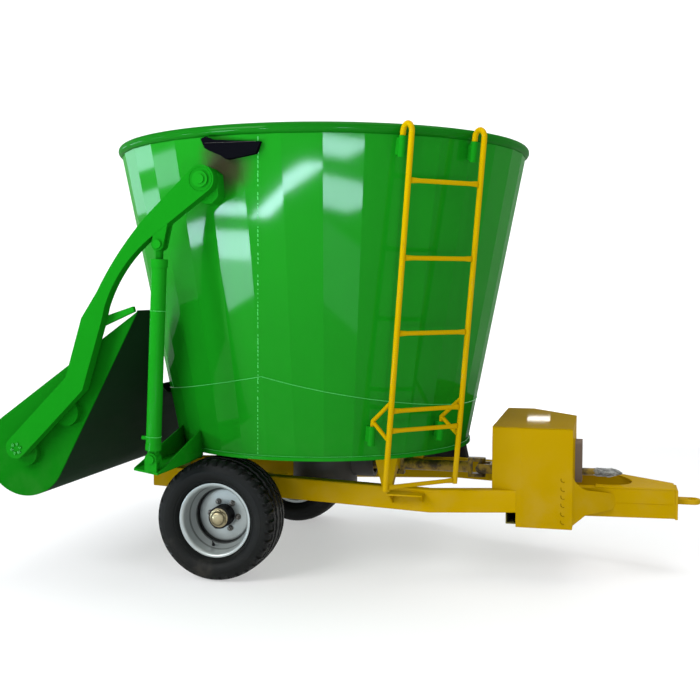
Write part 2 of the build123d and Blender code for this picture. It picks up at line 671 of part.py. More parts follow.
def axle_parts():
    tip = HUB_END_Y - HUB_RECESS / 2 - SEAT
    root = WHEEL_TRACK_Y - TYRE_W / 2 - AXLE_TYRE_GAP
    z0, z1 = WHEEL_R - AXLE_SQUARE / 2, WHEEL_R + AXLE_SQUARE / 2
    axle = block(AXLE_X - AXLE_SQUARE / 2, AXLE_X + AXLE_SQUARE / 2, -root, root, z0, z1)
    axle += rod((AXLE_X, -tip, WHEEL_R), (AXLE_X, tip, WHEEL_R), SPINDLE_WHEEL_R)
    y = beam_y(AXLE_X)
    half = BEAM_W / 2 + CLAMP_PAST_BEAM
    clamp = block(AXLE_X - CLAMP_HALF_X, AXLE_X + CLAMP_HALF_X, y - half, y + half, z0 - CLAMP_T, z0)
    for x in (AXLE_X - CLAMP_BOLT_X, AXLE_X + CLAMP_BOLT_X):
        for bolt_y in (y - half + CLAMP_BOLT_INSET, y + half - CLAMP_BOLT_INSET):
            clamp += rod((x, bolt_y, z0), (x, bolt_y, z1 + CLAMP_BOLT_PAST), CLAMP_BOLT_R)
    return {"axle_beam": axle, "axle_clamps": pair(clamp)}


def step_bracket():
    """Step plate with two gussets, on the outside of the right beam below the ladder."""
    x0 = BEAM_KINK[0] - STEP_LENGTH - STEP_BEHIND_KINK
    x1 = x0 + STEP_LENGTH
    y_in = -(beam_y(x0) + BEAM_W / 2 / cos(BEAM_ANGLE))
    beam = other_side(prism_z(beam_outline(BEAM_W / 2 + SEAT), BEAM_BOTTOM_Z, BEAM_TOP_Z))
    z1 = BEAM_TOP_Z - STEP_BELOW_TOP
    plate = block(x0, x1, y_in - STEP_REACH, y_in + STEP_OVER_BEAM, z1 - STEP_T, z1)
    for x in (x0 + STEP_T, x1 - 2 * STEP_T):
        low, tip, root = z1 - STEP_T, y_in - STEP_REACH + STEP_T, y_in + STEP_OVER_BEAM
        web = Polygon((root, low), (tip, low), (root, z1 - STEP_GUSSET_H), align=None)
        plate += plate_on(Plane((x, 0, 0), x_dir=(0, 1, 0), z_dir=(1, 0, 0)), web, STEP_T)
    return plate - beam


# Drive box and drawbar
def box_outline(inset=0.0):
    """Plan of the drive box: tapered at the rear, one front corner cut."""
    half = BOX_HALF_W - inset
    rear, front = BOX_REAR_X + inset, BOX_FRONT_X - inset
    cut = inset * 0.5
    return Polygon(
        (rear, -half + BOX_REAR_TAPER), (BOX_STEP_X + 28, -half), (front, -half),
        (front, half - BOX_CORNER_Y + cut), (front - BOX_CORNER_X + cut, half), (rear, half), align=None,
    )


def make_drive_box():
    whole = prism_z(box_outline(), BOX_BOTTOM_Z, BOX_TOP_Z)
    whole -= block(0, BOX_STEP_X, -2 * BOX_HALF_W, 2 * BOX_HALF_W, 0, BEAM_TOP_Z)
    hollow = prism_z(box_outline(BOX_WALL), 0, BOX_TOP_Z)
    hollow -= block(0, BOX_STEP_X + BOX_WALL, -2 * BOX_HALF_W, 2 * BOX_HALF_W, 0, BEAM_TOP_Z + BOX_WALL)
    body = whole - hollow - bar_x(0, 2 * BOX_FRONT_X, INPUT_SHAFT_R + 12)
    return {
        "drive_box": body,
        "drive_box_lid": prism_z(box_outline(), BOX_TOP_Z, BOX_TOP_Z + BOX_LID_T),
    }


def drawbar_place(x, shrink):
    """Cross-section of the right drawbar beam at a distance along it."""
    share = (x - BOX_FRONT_X) / (NOSE_X - BOX_FRONT_X)
    y, z = on_line((-DRAWBAR_ROOT_Y, DRAWBAR_ROOT_Z), (-DRAWBAR_NOSE_Y, DRAWBAR_NOSE_Z), share)
    place = Plane((x, y, z + DRAWBAR_H / 2), x_dir=(0, 1, 0), z_dir=(1, 0, 0))
    return place * Rectangle(DRAWBAR_W - shrink, DRAWBAR_H - shrink)


def drawbar_beam(rear_x):
    ends = (rear_x, NOSE_X)
    beam = loft([drawbar_place(x, 0) for x in ends], ruled=True)
    return beam - loft([drawbar_place(x, 2 * BEAM_WALL) for x in ends], ruled=True)


def drawbar_y(x):
    """Middle line of the drawbar beam in plan."""
    share = (x - BOX_FRONT_X) / (NOSE_X - BOX_FRONT_X)
    return DRAWBAR_ROOT_Y + (DRAWBAR_NOSE_Y - DRAWBAR_ROOT_Y) * share


def drawbar_top_plate():
    """Plate over the front of the two beams, scooped out behind."""
    half = DRAWBAR_NOSE_Y + DRAWBAR_W / 2
    rear_half = drawbar_y(TOP_PLATE_REAR_X) + DRAWBAR_W / 2
    back = TOP_PLATE_REAR_X - NOSE_X
    plan = Polygon((0, -half), (0, half), (back, rear_half), (back, -rear_half), align=None)
    lean = atan2(DRAWBAR_ROOT_Z - DRAWBAR_NOSE_Z, NOSE_X - BOX_FRONT_X)
    along, normal = (cos(lean), 0, -sin(lean)), (sin(lean), 0, cos(lean))
    place = Plane((NOSE_X, 0, DRAWBAR_NOSE_Z + DRAWBAR_H), x_dir=along, z_dir=normal)
    plate = plate_on(place, plan, TOP_PLATE_T)
    return plate - place * (Pos(back, 0, 0) * Cylinder(rear_half - DRAWBAR_W, 4 * TOP_PLATE_T))


def make_drawbar():
    half = DRAWBAR_NOSE_Y + DRAWBAR_W / 2
    nose = block(NOSE_X, NOSE_X + NOSE_T, -half, half, DRAWBAR_NOSE_Z - 6, DRAWBAR_NOSE_Z + DRAWBAR_H)
    tongue_start = NOSE_X + NOSE_T
    tongue = block(tongue_start, EYE_X, -EYE_R, EYE_R, EYE_Z - EYE_T / 2, EYE_Z + EYE_T / 2)
    tongue += Pos(EYE_X, 0, EYE_Z - EYE_T / 2) * Cylinder(EYE_R, EYE_T, align=LOW)
    tongue -= Pos(EYE_X, 0, EYE_Z - EYE_T) * Cylinder(EYE_BORE_R, 2 * EYE_T, align=LOW)
    left = other_side(drawbar_beam(BOX_FRONT_X - BOX_CORNER_X)) - prism_z(box_outline(), 0, BOX_TOP_Z)
    return {
        "drawbar_beams": Compound([drawbar_beam(BOX_FRONT_X), left]),
        "drawbar_plates": Compound([nose, drawbar_top_plate()]),
        "hitch_tongue": tongue,
        "drawbar_gusset": drawbar_gusset(),
    }


def drawbar_gusset():
    """Plate from the box's front corner across to the side of the drawbar."""
    start = Vector(BOX_FRONT_X - GUSSET_T, -BOX_HALF_W, 0)
    end_x = BOX_FRONT_X + GUSSET_REACH
    end = Vector(end_x, -drawbar_y(end_x) - DRAWBAR_W / 2, 0)
    way = (end - start).normalized()
    length = (end - start).length
    low, top = DRAWBAR_ROOT_Z, DRAWBAR_ROOT_Z + DRAWBAR_H
    corner_low, corner_up = (0, BOX_BOTTOM_Z + 12), (0, top + 120)
    bend_low, bend_up = (length * 0.35, low + 20), (length * 0.42, top - 10)
    end_low, end_middle, end_up = (length - 30, low + 28), (length, low + 75), (length - 30, top - 42)
    outline = make_face([
        Line(corner_low, bend_low), Line(bend_low, end_low), ThreePointArc(end_low, end_middle, end_up),
        Line(end_up, bend_up), ThreePointArc(bend_up, (length * 0.13, top + 45), corner_up),
        Line(corner_up, corner_low),
    ])
    place = Plane(start, x_dir=way, z_dir=way.cross(Vector(0, 0, 1))).offset(-GUSSET_T)
    beam_root, beam_nose = ((x, -drawbar_y(x) - DRAWBAR_W / 2) for x in (BOX_FRONT_X, NOSE_X))
    far = 2 * BOX_HALF_W
    keep_out = Polygon(beam_root, beam_nose, (NOSE_X, 0), (0, 0), (0, -far), (BOX_FRONT_X, -far), align=None)
    return plate_on(place, outline, GUSSET_T) - prism_z(keep_out, 0, 2 * BOX_TOP_Z)


# Wheels; drawn for the right side, where Y is negative
WHEEL_PLANE = Plane((AXLE_X, 0, WHEEL_R), x_dir=(1, 0, 0), z_dir=(0, 0, -1))


def wheel_turned(points):
    """Turned part of the right wheel from (radius, distance from the wagon's middle) points."""
    return turned(points, WHEEL_PLANE)


def make_tyre():
    middle = WHEEL_TRACK_Y
    half = TYRE_W / 2
    wall_h = WHEEL_R - RIM_LIP_R
    seat = RIM_SEAT_R + SEAT
    bead = RIM_W / 2 - RIM_T - SEAT
    outer = [
        (seat, bead), (RIM_LIP_R + 0.03 * wall_h, bead), (RIM_LIP_R + 0.22 * wall_h, 0.94 * half),
        (RIM_LIP_R + 0.5 * wall_h, half), (RIM_LIP_R + 0.72 * wall_h, 0.96 * half),
        (WHEEL_R - TYRE_SHOULDER, TREAD_HALF_W), (WHEEL_R, 0.62 * TREAD_HALF_W),
    ]
    inside = half - TYRE_WALL
    inner = [
        (WHEEL_R - 1.5 * TYRE_WALL, inside), (RIM_LIP_R + 0.7 * TYRE_WALL, inside), (seat, bead - TYRE_BEAD),
    ]
    outline = outer + [(r, -y) for r, y in reversed(outer)]
    outline += [(r, -y) for r, y in reversed(inner)] + [(WHEEL_R - TYRE_WALL, 0)] + inner
    return wheel_turned([(r, middle + y) for r, y in outline])


def make_rim():
    """Rim with its drop centre beside the wheel disc, far behind the outer lip."""
    middle = WHEEL_TRACK_Y
    half = RIM_W / 2
    disc_face = half - DISC_INSET
    well_in, well_out = disc_face - RIM_WELL_W / 2, disc_face + RIM_WELL_W / 2
    slope = 1.1 * (RIM_SEAT_R - RIM_WELL_R)
    bore = RIM_SEAT_R - RIM_T
    outer = [
        (RIM_LIP_R, -half), (RIM_LIP_R, -half + RIM_T), (RIM_SEAT_R, -half + RIM_T),
        (RIM_SEAT_R, well_in - slope / 2), (RIM_WELL_R, well_in), (RIM_WELL_R, well_out),
        (RIM_SEAT_R, well_out + slope), (RIM_SEAT_R, half - RIM_T), (RIM_LIP_R, half - RIM_T),
        (RIM_LIP_R, half), (bore, half), (bore, well_out + slope), (RIM_WELL_R - RIM_T, well_out),
        (RIM_WELL_R - RIM_T, well_in), (bore, well_in - slope / 2), (bore, -half),
    ]
    rim = wheel_turned([(r, middle + y) for r, y in outer])
    face = middle + disc_face
    rim += wheel_turned([
        (HUB_R + 3, face), (HUB_R + 3, face - DISC_T), (DISC_R - 6, face - DISC_T),
        (RIM_WELL_R - RIM_T / 2, face - 2 * DISC_T), (RIM_WELL_R - RIM_T / 2, face - 0.8 * DISC_T),
        (DISC_R, face),
    ])
    for i in range(NUT_COUNT):
        x, z = nut_spot(i)
        rim -= rod((x, -face - 1, z), (x, -face + 2 * DISC_T, z), STUD_R + SEAT)
    return rim


def nut_spot(i):
    a = radians(360 / NUT_COUNT * i + NUT_TURN)
    return AXLE_X + NUT_PCD / 2 * cos(a), WHEEL_R + NUT_PCD / 2 * sin(a)


DISC_FACE_Y = WHEEL_TRACK_Y + RIM_W / 2 - DISC_INSET
HUB_END_Y = DISC_FACE_Y + HUB_OUT


def make_wheel():
    face = DISC_FACE_Y
    back = face - DISC_T
    flange = back - HUB_FLANGE_T
    bore = SPINDLE_WHEEL_R + RUNNING
    recess_r = SPINDLE_WHEEL_R + HUB_RECESS
    hub = wheel_turned([
        (bore, flange - HUB_TAIL), (HUB_R + 8, flange - HUB_TAIL), (HUB_R + 8, flange),
        (HUB_FLANGE_R, flange),
        (HUB_FLANGE_R, back), (HUB_R, back), (HUB_R, HUB_END_Y), (recess_r, HUB_END_Y),
        (recess_r, HUB_END_Y - HUB_RECESS), (bore, HUB_END_Y - HUB_RECESS),
    ])
    nuts = []
    for i in range(NUT_COUNT):
        x, z = nut_spot(i)
        hub += rod((x, -back + 1, z), (x, -face - NUT_H - 10, z), STUD_R)
        hexagon = extrude(RegularPolygon(NUT_AF / 2, 6, major_radius=False), NUT_H)
        hexagon -= Cylinder(STUD_R + SEAT, 4 * NUT_H)
        nuts.append(Plane((x, -face, z), x_dir=(1, 0, 0), z_dir=(0, -1, 0)) * hexagon)
    end = HUB_END_Y + HUB_CAP_OUT
    spigot = recess_r - SEAT
    cap = wheel_turned([
        (spigot - 5, HUB_END_Y - HUB_RECESS / 2), (spigot, HUB_END_Y - HUB_RECESS / 2), (spigot, HUB_END_Y),
        (HUB_CAP_R, HUB_END_Y), (HUB_CAP_R, HUB_END_Y + HUB_CAP_OUT * 0.45), (HUB_CAP_R * 0.8, end - 8),
        (HUB_CAP_R * 0.45, end), (0, end), (0, end - 6), (HUB_CAP_R * 0.4, end - 6),
        (spigot - 5, HUB_END_Y + 4),
    ])
    return {
        "tyre": make_tyre(),
        "wheel_rim": make_rim(),
        "wheel_hub": hub,
        "wheel_nuts": Compound(nuts),
        "hub_cap": cap,
    }


# Loading hopper
def unit(angle):
    return cos(radians(angle)), sin(radians(angle))


def shifted(point, direction, amount):
    return point[0] + direction[0] * amount, point[1] + direction[1] * amount


def hopper_geometry():
    """Tangent points of the two flat sides on the round end, and the far point of the round."""
    dx, dz = HOPPER_ROUND[0] - HOPPER_APEX[0], HOPPER_ROUND[1] - HOPPER_APEX[1]
    heading = degrees(atan2(dz, dx))
    spread = degrees(asin(HOPPER_ROUND_R / hypot(dx, dz)))
    floor_normal = unit(heading + spread + 90)
    mouth_normal = unit(heading - spread - 90)
    return floor_normal, mouth_normal, unit(heading)


FLOOR_NORMAL, MOUTH_NORMAL, ROUND_NORMAL = hopper_geometry()


def round_point(normal, radius):
    return shifted(HOPPER_ROUND, normal, radius)


def hopper_side_face():
    r = HOPPER_ROUND_R
    low, far, high = (round_point(n, r) for n in (FLOOR_NORMAL, ROUND_NORMAL, MOUTH_NORMAL))
    return make_face([Line(HOPPER_APEX, low), ThreePointArc(low, far, high), Line(high, HOPPER_APEX)])


def hopper_sheet_face():
    """Section of the bent sheet: flat floor towards the tub, then the round end."""
    r, t = HOPPER_ROUND_R, HOPPER_SHEET_T
    low, far, high = (round_point(n, r) for n in (FLOOR_NORMAL, ROUND_NORMAL, MOUTH_NORMAL))
    low_in, far_in, high_in = (round_point(n, r - t) for n in (FLOOR_NORMAL, ROUND_NORMAL, MOUTH_NORMAL))
    apex_in = shifted(HOPPER_APEX, FLOOR_NORMAL, -t)
    return make_face([
        Line(HOPPER_APEX, low), ThreePointArc(low, far, high), Line(high, high_in),
        ThreePointArc(high_in, far_in, low_in), Line(low_in, apex_in), Line(apex_in, HOPPER_APEX),
    ])


def make_hopper():
    inside = HOPPER_HALF_W - HOPPER_SIDE_T
    sheet = prism_y(hopper_sheet_face(), -inside, inside)
    z0, z1 = FLOOR_BOTTOM_Z - CUT_MARGIN, HOPPER_APEX[1] + CUT_MARGIN
    keep_out = Pos(0, 0, z0) * Cone(
        tub_radius(z0) + HOPPER_TUB_GAP, tub_radius(z1) + HOPPER_TUB_GAP, z1 - z0, align=LOW
    )
    side = prism_y(hopper_side_face(), -HOPPER_HALF_W, -inside)
    return {"hopper_sheet": sheet - keep_out, "hopper_sides": pair(side)}


# Lift arms
ARM_OUTER_Y = ARM_INNER_Y + ARM_W
ARM_HEADING = unit(ARM_ANGLE)
LIFT_Y = (ARM_INNER_Y + ARM_OUTER_Y) / 2


def arm_face():
    """Side view of a lift arm: curved upper part, straight shank, and a leg along the hopper."""
    across = (ARM_HEADING[1], -ARM_HEADING[0])
    head_up = shifted(ARM_PIVOT, across, ARM_END_R)
    head_low = shifted(ARM_PIVOT, across, -ARM_END_R)
    head_tip = shifted(ARM_PIVOT, ARM_HEADING, -ARM_END_R)
    leg_way = unit(LEG_ANGLE)
    leg_across = unit(LEG_ANGLE - 90)
    leg_up = shifted(LEG_END, leg_across, LEG_HALF_W)
    leg_low = shifted(LEG_END, leg_across, -LEG_HALF_W)
    leg_tip = shifted(LEG_END, leg_way, LEG_HALF_W)
    knee_up = shifted(leg_up, leg_way, -LEG_UPPER)
    knee_low = shifted(leg_low, leg_way, -LEG_LOWER)
    under = [shifted(ARM_PIVOT, spot, 1) for spot in ARM_UNDERSIDE]
    top = [shifted(ARM_PIVOT, spot, 1) for spot in ARM_TOPSIDE]
    return make_face([
        ThreePointArc(head_up, head_tip, head_low),
        Line(head_low, under[0]),
        ThreePointArc(*under[:3]),
        Line(*under[2:]),
        Line(under[3], knee_low),
        Line(knee_low, leg_low),
        ThreePointArc(leg_low, leg_tip, leg_up),
        Line(leg_up, knee_up),
        Line(knee_up, top[0]),
        Line(*top[:2]),
        ThreePointArc(*top[1:]),
        Line(top[3], head_up),
    ])


def ear_spans():
    """Places of the two ears beside a lift cylinder's eye."""
    gap = EYE_WIDTH / 2 + EAR_GAP
    return (-LIFT_Y - gap - LUG_T, -LIFT_Y - gap), (-LIFT_Y + gap, -LIFT_Y + gap + LUG_T)


def make_arm():
    """Right arm: a channel that opens inwards, with its pivot boss, cylinder lugs and tie bar."""
    face = arm_face()
    arm = prism_y(face, -ARM_OUTER_Y, -ARM_INNER_Y)
    arm -= prism_y(offset(face, -ARM_FLANGE_T), -ARM_OUTER_Y + ARM_PLATE_T, -ARM_INNER_Y)
    px, pz = ARM_PIVOT
    arm += rod((px, -ARM_OUTER_Y, pz), (px, -ARM_INNER_Y, pz), ARM_BOSS_R)
    arm -= rod((px, -ARM_OUTER_Y - 1, pz), (px, -ARM_INNER_Y + 1, pz), ARM_PIN_R + RUNNING)
    lx, lz = LIFT_LUG
    rear, shoulder, root, front = ((lx + x, lz + z) for x, z in LUG_OUTLINE)
    bottom = (lx, lz - EYE_OUTER_R)
    ear = make_face([
        Line(rear, shoulder), Line(shoulder, root), Line(root, front), ThreePointArc(front, bottom, rear),
    ])
    for y0, y1 in ear_spans():
        arm += prism_y(ear, y0, y1)
    return arm - rod((lx, -2 * LIFT_Y, lz), (lx, 0, lz), LIFT_PIN_R + SEAT)


def make_tie():
    """Flat bar from the arm to the hopper's front corner, with a hook at its end."""
    start, end = shifted(ARM_PIVOT, TIE_FROM_PIVOT, 1), HOPPER_APEX
    way = Vector(end[0] - start[0], end[1] - start[1]).normalized()
    up = (-way.Y, way.X)
    start_low, end_low = shifted(start, up, -TIE_H / 2), shifted(end, up, -2)
    start_up, end_up = shifted(start, up, TIE_H / 2), shifted(end, up, TIE_H * 0.55)
    bar = Polygon(start_low, end_low, end_up, start_up, align=None)
    return prism_y(bar, -ARM_INNER_Y + SEAT, -ARM_INNER_Y + SEAT + TIE_T)


def make_arms():
    spacers = []
    bolts = []
    for x, z in SPACER_SPOTS:
        spacers.append(rod((x, -ARM_INNER_Y, z), (x, -HOPPER_HALF_W, z), SPACER_R))
    for i in range(SPACER_BOLTS):
        spot = shifted(BOLT_RING_SPOT, unit(360 / SPACER_BOLTS * (i + 0.25)), SPACER_BOLT_CIRCLE_R)
        face = Plane((spot[0], -ARM_OUTER_Y, spot[1]), x_dir=(1, 0, 0), z_dir=(0, -1, 0))
        bolts.append(face * extrude(RegularPolygon(SPACER_BOLT_R, 6), SPACER_BOLT_H))
    lx, lz = LIFT_LUG
    outer, inner = ear_spans()[0][0], ear_spans()[1][1]
    pin = rod((lx, outer, lz), (lx, inner, lz), LIFT_PIN_R)
    pin += rod((lx, outer - PIN_HEAD_T, lz), (lx, outer, lz), LIFT_PIN_R + PIN_HEAD_RIM)
    pin += rod((lx, inner, lz), (lx, inner + PIN_HEAD_T, lz), LIFT_PIN_R + PIN_HEAD_RIM)
    bolts.append(pin)
    return {
        "lift_arms": pair(make_arm()),
        "arm_spacers": Compound(spacers + [other_side(s) for s in spacers]),
        "arm_fasteners": Compound(bolts + [other_side(b) for b in bolts]),
        "arm_ties": pair(make_tie()),
    }


# Arm brackets and pins on the tub
def make_arm_brackets():
    px, pz = ARM_PIVOT
    outer = -ARM_INNER_Y + EAR_GAP
    corners = [shifted(ARM_PIVOT, corner, 1) for corner in CHEEK_OUTLINE]
    straight = corners[2:] + corners[:1]
    cheek = make_face([ThreePointArc(*corners[:3])] + [Line(a, b) for a, b in zip(straight, straight[1:])])
    cheek_block = prism_y(cheek, outer, -tub_radius(pz) * 0.85) - TUB_ENVELOPE
    cheek_block -= rod((px, outer - 1, pz), (px, -ARM_INNER_Y * 0.9, pz), ARM_PIN_R + SEAT)
    pin_in = ARM_INNER_Y * 0.9
    head = ARM_OUTER_Y + EAR_GAP
    pin = rod((px, -head - 2 * PIVOT_HEAD_T, pz), (px, -pin_in, pz), ARM_PIN_R)
    pin += rod((px, -head - PIVOT_HEAD_T, pz), (px, -head, pz), PIVOT_HEAD_R)
    pin -= TUB_ENVELOPE
    rim_x, rim_z = px + RIM_BRACKET_AT[0], TUB_TOP_Z + RIM_BRACKET_AT[1]
    rim_face = Polygon(*[(rim_x + x, rim_z + z) for x, z in RIM_BRACKET], align=None)
    rim_bracket = prism_y(rim_face, outer, -TUB_R_TOP * 0.9) - TUB_ENVELOPE
    pins = [pin]
    fx, fz = LIFT_FOOT
    for (y0, y1), outside in zip(ear_spans(), (-1, 1)):
        ear_face = y0 if outside < 0 else y1
        stub = rod((fx, y0, fz), (fx, y1, fz), LIFT_PIN_R)
        head_face = ear_face + outside * PIN_HEAD_T
        pins.append(stub + rod((fx, ear_face, fz), (fx, head_face, fz), LIFT_PIN_R + PIN_HEAD_RIM))
    return {
        "arm_brackets": pair(cheek_block),
        "rim_brackets": pair(rim_bracket),
        "pivot_pins": Compound(pins + [other_side(p) for p in pins]),
    }


def lift_bracket():
    """Shelf on the tub's lower wall that carries the foot of a lift cylinder."""
    out_near = Vector(FOOT_FRONT_X, -LIFT_Y - FOOT_PAST_PIN)
    out_far = Vector(FOOT_REAR_X, -LIFT_Y + FOOT_BEFORE_PIN)
    root_far, root_near = (
        Vector(x, -(TUB_R_BOTTOM ** 2 - x ** 2) ** 0.5) for x in (FOOT_REAR_X, FOOT_FRONT_X)
    )
    plan = Polygon(*[(v.X, v.Y) for v in (out_near, out_far, root_far, root_near)], align=None)
    z1 = FOOT_BASE_Z
    shelf = prism_z(plan, z1 - FOOT_BASE_T, z1)
    for outer, root in ((out_near, root_near), (out_far, root_far)):
        way = (root - outer).normalized()
        length = (root - outer).length
        tip, peak = FOOT_BASE_T, length - 3 * FOOT_GUSSET_T
        web = Polygon((tip, 0), (length, 0), (length, FOOT_GUSSET_TOP), (peak, FOOT_GUSSET_TOP), align=None)
        place = Plane((outer.X, outer.Y, z1), x_dir=way, z_dir=way.cross(Vector(0, 0, 1)))
        shelf += plate_on(place.offset(-FOOT_GUSSET_T / 2), web, FOOT_GUSSET_T)
    fx, fz = LIFT_FOOT
    r = EYE_OUTER_R
    ear = make_face([
        Line((fx - r, z1), (fx - r, fz)), ThreePointArc((fx - r, fz), (fx, fz + r), (fx + r, fz)),
        Line((fx + r, fz), (fx + r, z1)), Line((fx + r, z1), (fx - r, z1)),
    ])
    for y0, y1 in ear_spans():
        shelf += prism_y(ear, y0, y1)
    shelf -= rod((fx, -2 * LIFT_Y, fz), (fx, 0, fz), LIFT_PIN_R + SEAT)
    floor = Pos(0, 0, FLOOR_BOTTOM_Z) * Cylinder(TUB_R_BOTTOM + FLOOR_LIP, FLOOR_T, align=LOW)
    return shelf - TUB_ENVELOPE - floor


def make_lift_cylinder():
    """Right lift cylinder: barrel on the bracket, rod to the arm."""
    foot = Vector(LIFT_FOOT[0], -LIFT_Y, LIFT_FOOT[1])
    lug = Vector(LIFT_LUG[0], -LIFT_Y, LIFT_LUG[1])
    length = (lug - foot).length
    place = Plane(foot, x_dir=(0, 1, 0), z_dir=lug - foot)
    eye = Rot(0, 90, 0) * Cylinder(EYE_OUTER_R, EYE_WIDTH)
    base = EYE_OUTER_R + EYE_NECK
    barrel = eye + Pos(0, 0, base / 2) * Box(EYE_WIDTH, 1.5 * EYE_OUTER_R, base)
    barrel += Pos(0, 0, base) * Cylinder(BARREL_R, BARREL_LENGTH - base, align=LOW)
    barrel += Pos(0, 0, BARREL_LENGTH - GLAND_H) * Cylinder(GLAND_R, GLAND_H, align=LOW)
    barrel += Pos(0, 0, base) * Cylinder(BARREL_R + BARREL_COLLAR_T, BARREL_COLLAR_H, align=LOW)
    barrel += Pos(0, 0, base + PORT_UP) * Rot(-90, 0, 0) * Cylinder(PORT_R, BARREL_R + PORT_REACH, align=LOW)
    floor_z = base + BARREL_BASE_T
    barrel -= Pos(0, 0, floor_z) * Cylinder(BARREL_BORE_R, BARREL_LENGTH - GLAND_H - floor_z, align=LOW)
    barrel -= Pos(0, 0, floor_z) * Cylinder(ROD_R + LOOSE, BARREL_LENGTH, align=LOW)
    piston_z = floor_z + PISTON_GAP
    ram = Pos(0, 0, piston_z) * Cylinder(ROD_R, length - piston_z, align=LOW)
    ram += Pos(0, 0, piston_z) * Cylinder(BARREL_BORE_R - LOOSE, PISTON_H, align=LOW)
    ram += Pos(0, 0, length) * eye
    ram -= Pos(0, 0, length) * Rot(0, 90, 0) * Cylinder(LIFT_PIN_R + RUNNING, 2 * EYE_WIDTH)
    around = 4 * EYE_WIDTH
    ram -= Pos(0, 0, length) * (Box(around, around, around) - Box(EYE_WIDTH, 2 * around, 2 * around))
    return place * barrel, place * ram


def make_lift():
    barrel, ram = make_lift_cylinder()
    return {
        "lift_brackets": pair(lift_bracket()),
        "lift_barrel_right": barrel,
        "lift_barrel_left": other_side(barrel),
        "lift_rod_right": ram,
        "lift_rod_left": other_side(ram),
    }


# Discharge door; drawn on the wall's plane, X along the wall, Y up and Z outwards
DOOR_PLATE_W = DOOR_W + 2 * DOOR_OVERLAP
DOOR_PLATE_H = DOOR_H + 2 * DOOR_OVERLAP
DOOR_FRAME_H = DOOR_H + 2 * DOOR_FRAME_W
GUIDE_INNER_X = DOOR_PLATE_W / 2 + 4 * LOOSE
GUIDE_OUT_Z = DOOR_FRAME_OUT + DOOR_T + 3 * LOOSE + DOOR_GUIDE_T
GUIDE_TOP_Y = DOOR_PLATE_H / 2 + DOOR_TRAVEL + 30
DOOR_RAM_Z = GUIDE_OUT_Z + TOP_BAR_T + DOOR_BARREL_R


def door_frame():
    depth = DOOR_FRAME_OUT + CUT_MARGIN
    frame = Box(DOOR_W + 2 * DOOR_FRAME_W, DOOR_FRAME_H, depth) - Box(DOOR_W, DOOR_H, 2 * depth)
    return DOOR_PLANE * (Pos(0, 0, DOOR_FRAME_OUT - depth / 2) * frame) - TUB_ENVELOPE


def door_guides():
    """Two channels that hold the plate's edges, a sill below and a bar across the top."""
    low = -DOOR_FRAME_H / 2
    rails = Part()
    for side in (-1, 1):
        wall = side * GUIDE_INNER_X, side * (GUIDE_INNER_X + DOOR_GUIDE_T)
        lip = side * (GUIDE_INNER_X - 14), side * (GUIDE_INNER_X + DOOR_GUIDE_T)
        rails += block(*wall, low, GUIDE_TOP_Y, DOOR_FRAME_OUT, GUIDE_OUT_Z)
        rails += block(*lip, low, GUIDE_TOP_Y, GUIDE_OUT_Z - DOOR_GUIDE_T, GUIDE_OUT_Z)
    sill_top = -DOOR_PLATE_H / 2 - LOOSE
    reach = GUIDE_INNER_X + DOOR_GUIDE_T
    rails += block(-reach, reach, sill_top - DOOR_GUIDE_T, sill_top, DOOR_FRAME_OUT, DOOR_FRAME_OUT + DOOR_T)
    bar_low = GUIDE_TOP_Y - TOP_BAR_H
    rails += block(-reach, reach, bar_low, GUIDE_TOP_Y, GUIDE_OUT_Z, GUIDE_OUT_Z + TOP_BAR_T)
    rails = DOOR_PLANE * rails
    for side in (-1, 1):
        arm_x = side * GUIDE_INNER_X, side * (GUIDE_INNER_X + DOOR_GUIDE_T)
        arm = DOOR_PLANE * block(*arm_x, bar_low, GUIDE_TOP_Y, -260, DOOR_FRAME_OUT) - TUB_ENVELOPE
        rails += arm
    return rails


def door_ram():
    """Cylinder above the door and the rod that lifts the plate."""
    column = Plane((0, 0, DOOR_RAM_Z), x_dir=(1, 0, 0), z_dir=(0, 1, 0))
    low = GUIDE_TOP_Y - TOP_BAR_H
    length = DOOR_TRAVEL + 90
    barrel = Pos(0, 0, low) * Cylinder(DOOR_BARREL_R, length, align=LOW)
    foot = block(-20, 20, low, GUIDE_TOP_Y, GUIDE_OUT_Z + TOP_BAR_T, DOOR_RAM_Z)
    barrel = column * barrel + foot
    barrel -= column * (Pos(0, 0, low + 26) * Cylinder(DOOR_BARREL_BORE_R, length - 36, align=LOW))
    barrel -= column * (Pos(0, 0, low - 1) * Cylinder(DOOR_ROD_R + LOOSE, 60, align=LOW))
    lug_y = DOOR_PLATE_H / 2 - 50
    top = low + 56
    ram = column * (Pos(0, 0, lug_y) * Cylinder(DOOR_ROD_R, top - lug_y, align=LOW))
    ram += column * (Pos(0, 0, top - 22) * Cylinder(DOOR_BARREL_BORE_R - LOOSE, 22, align=LOW))
    plate_face = DOOR_FRAME_OUT + LOOSE + DOOR_T
    ram += block(-25, 25, lug_y - 30, lug_y + 14, plate_face, DOOR_RAM_Z + DOOR_ROD_R + 6)
    return DOOR_PLANE * barrel, DOOR_PLANE * ram


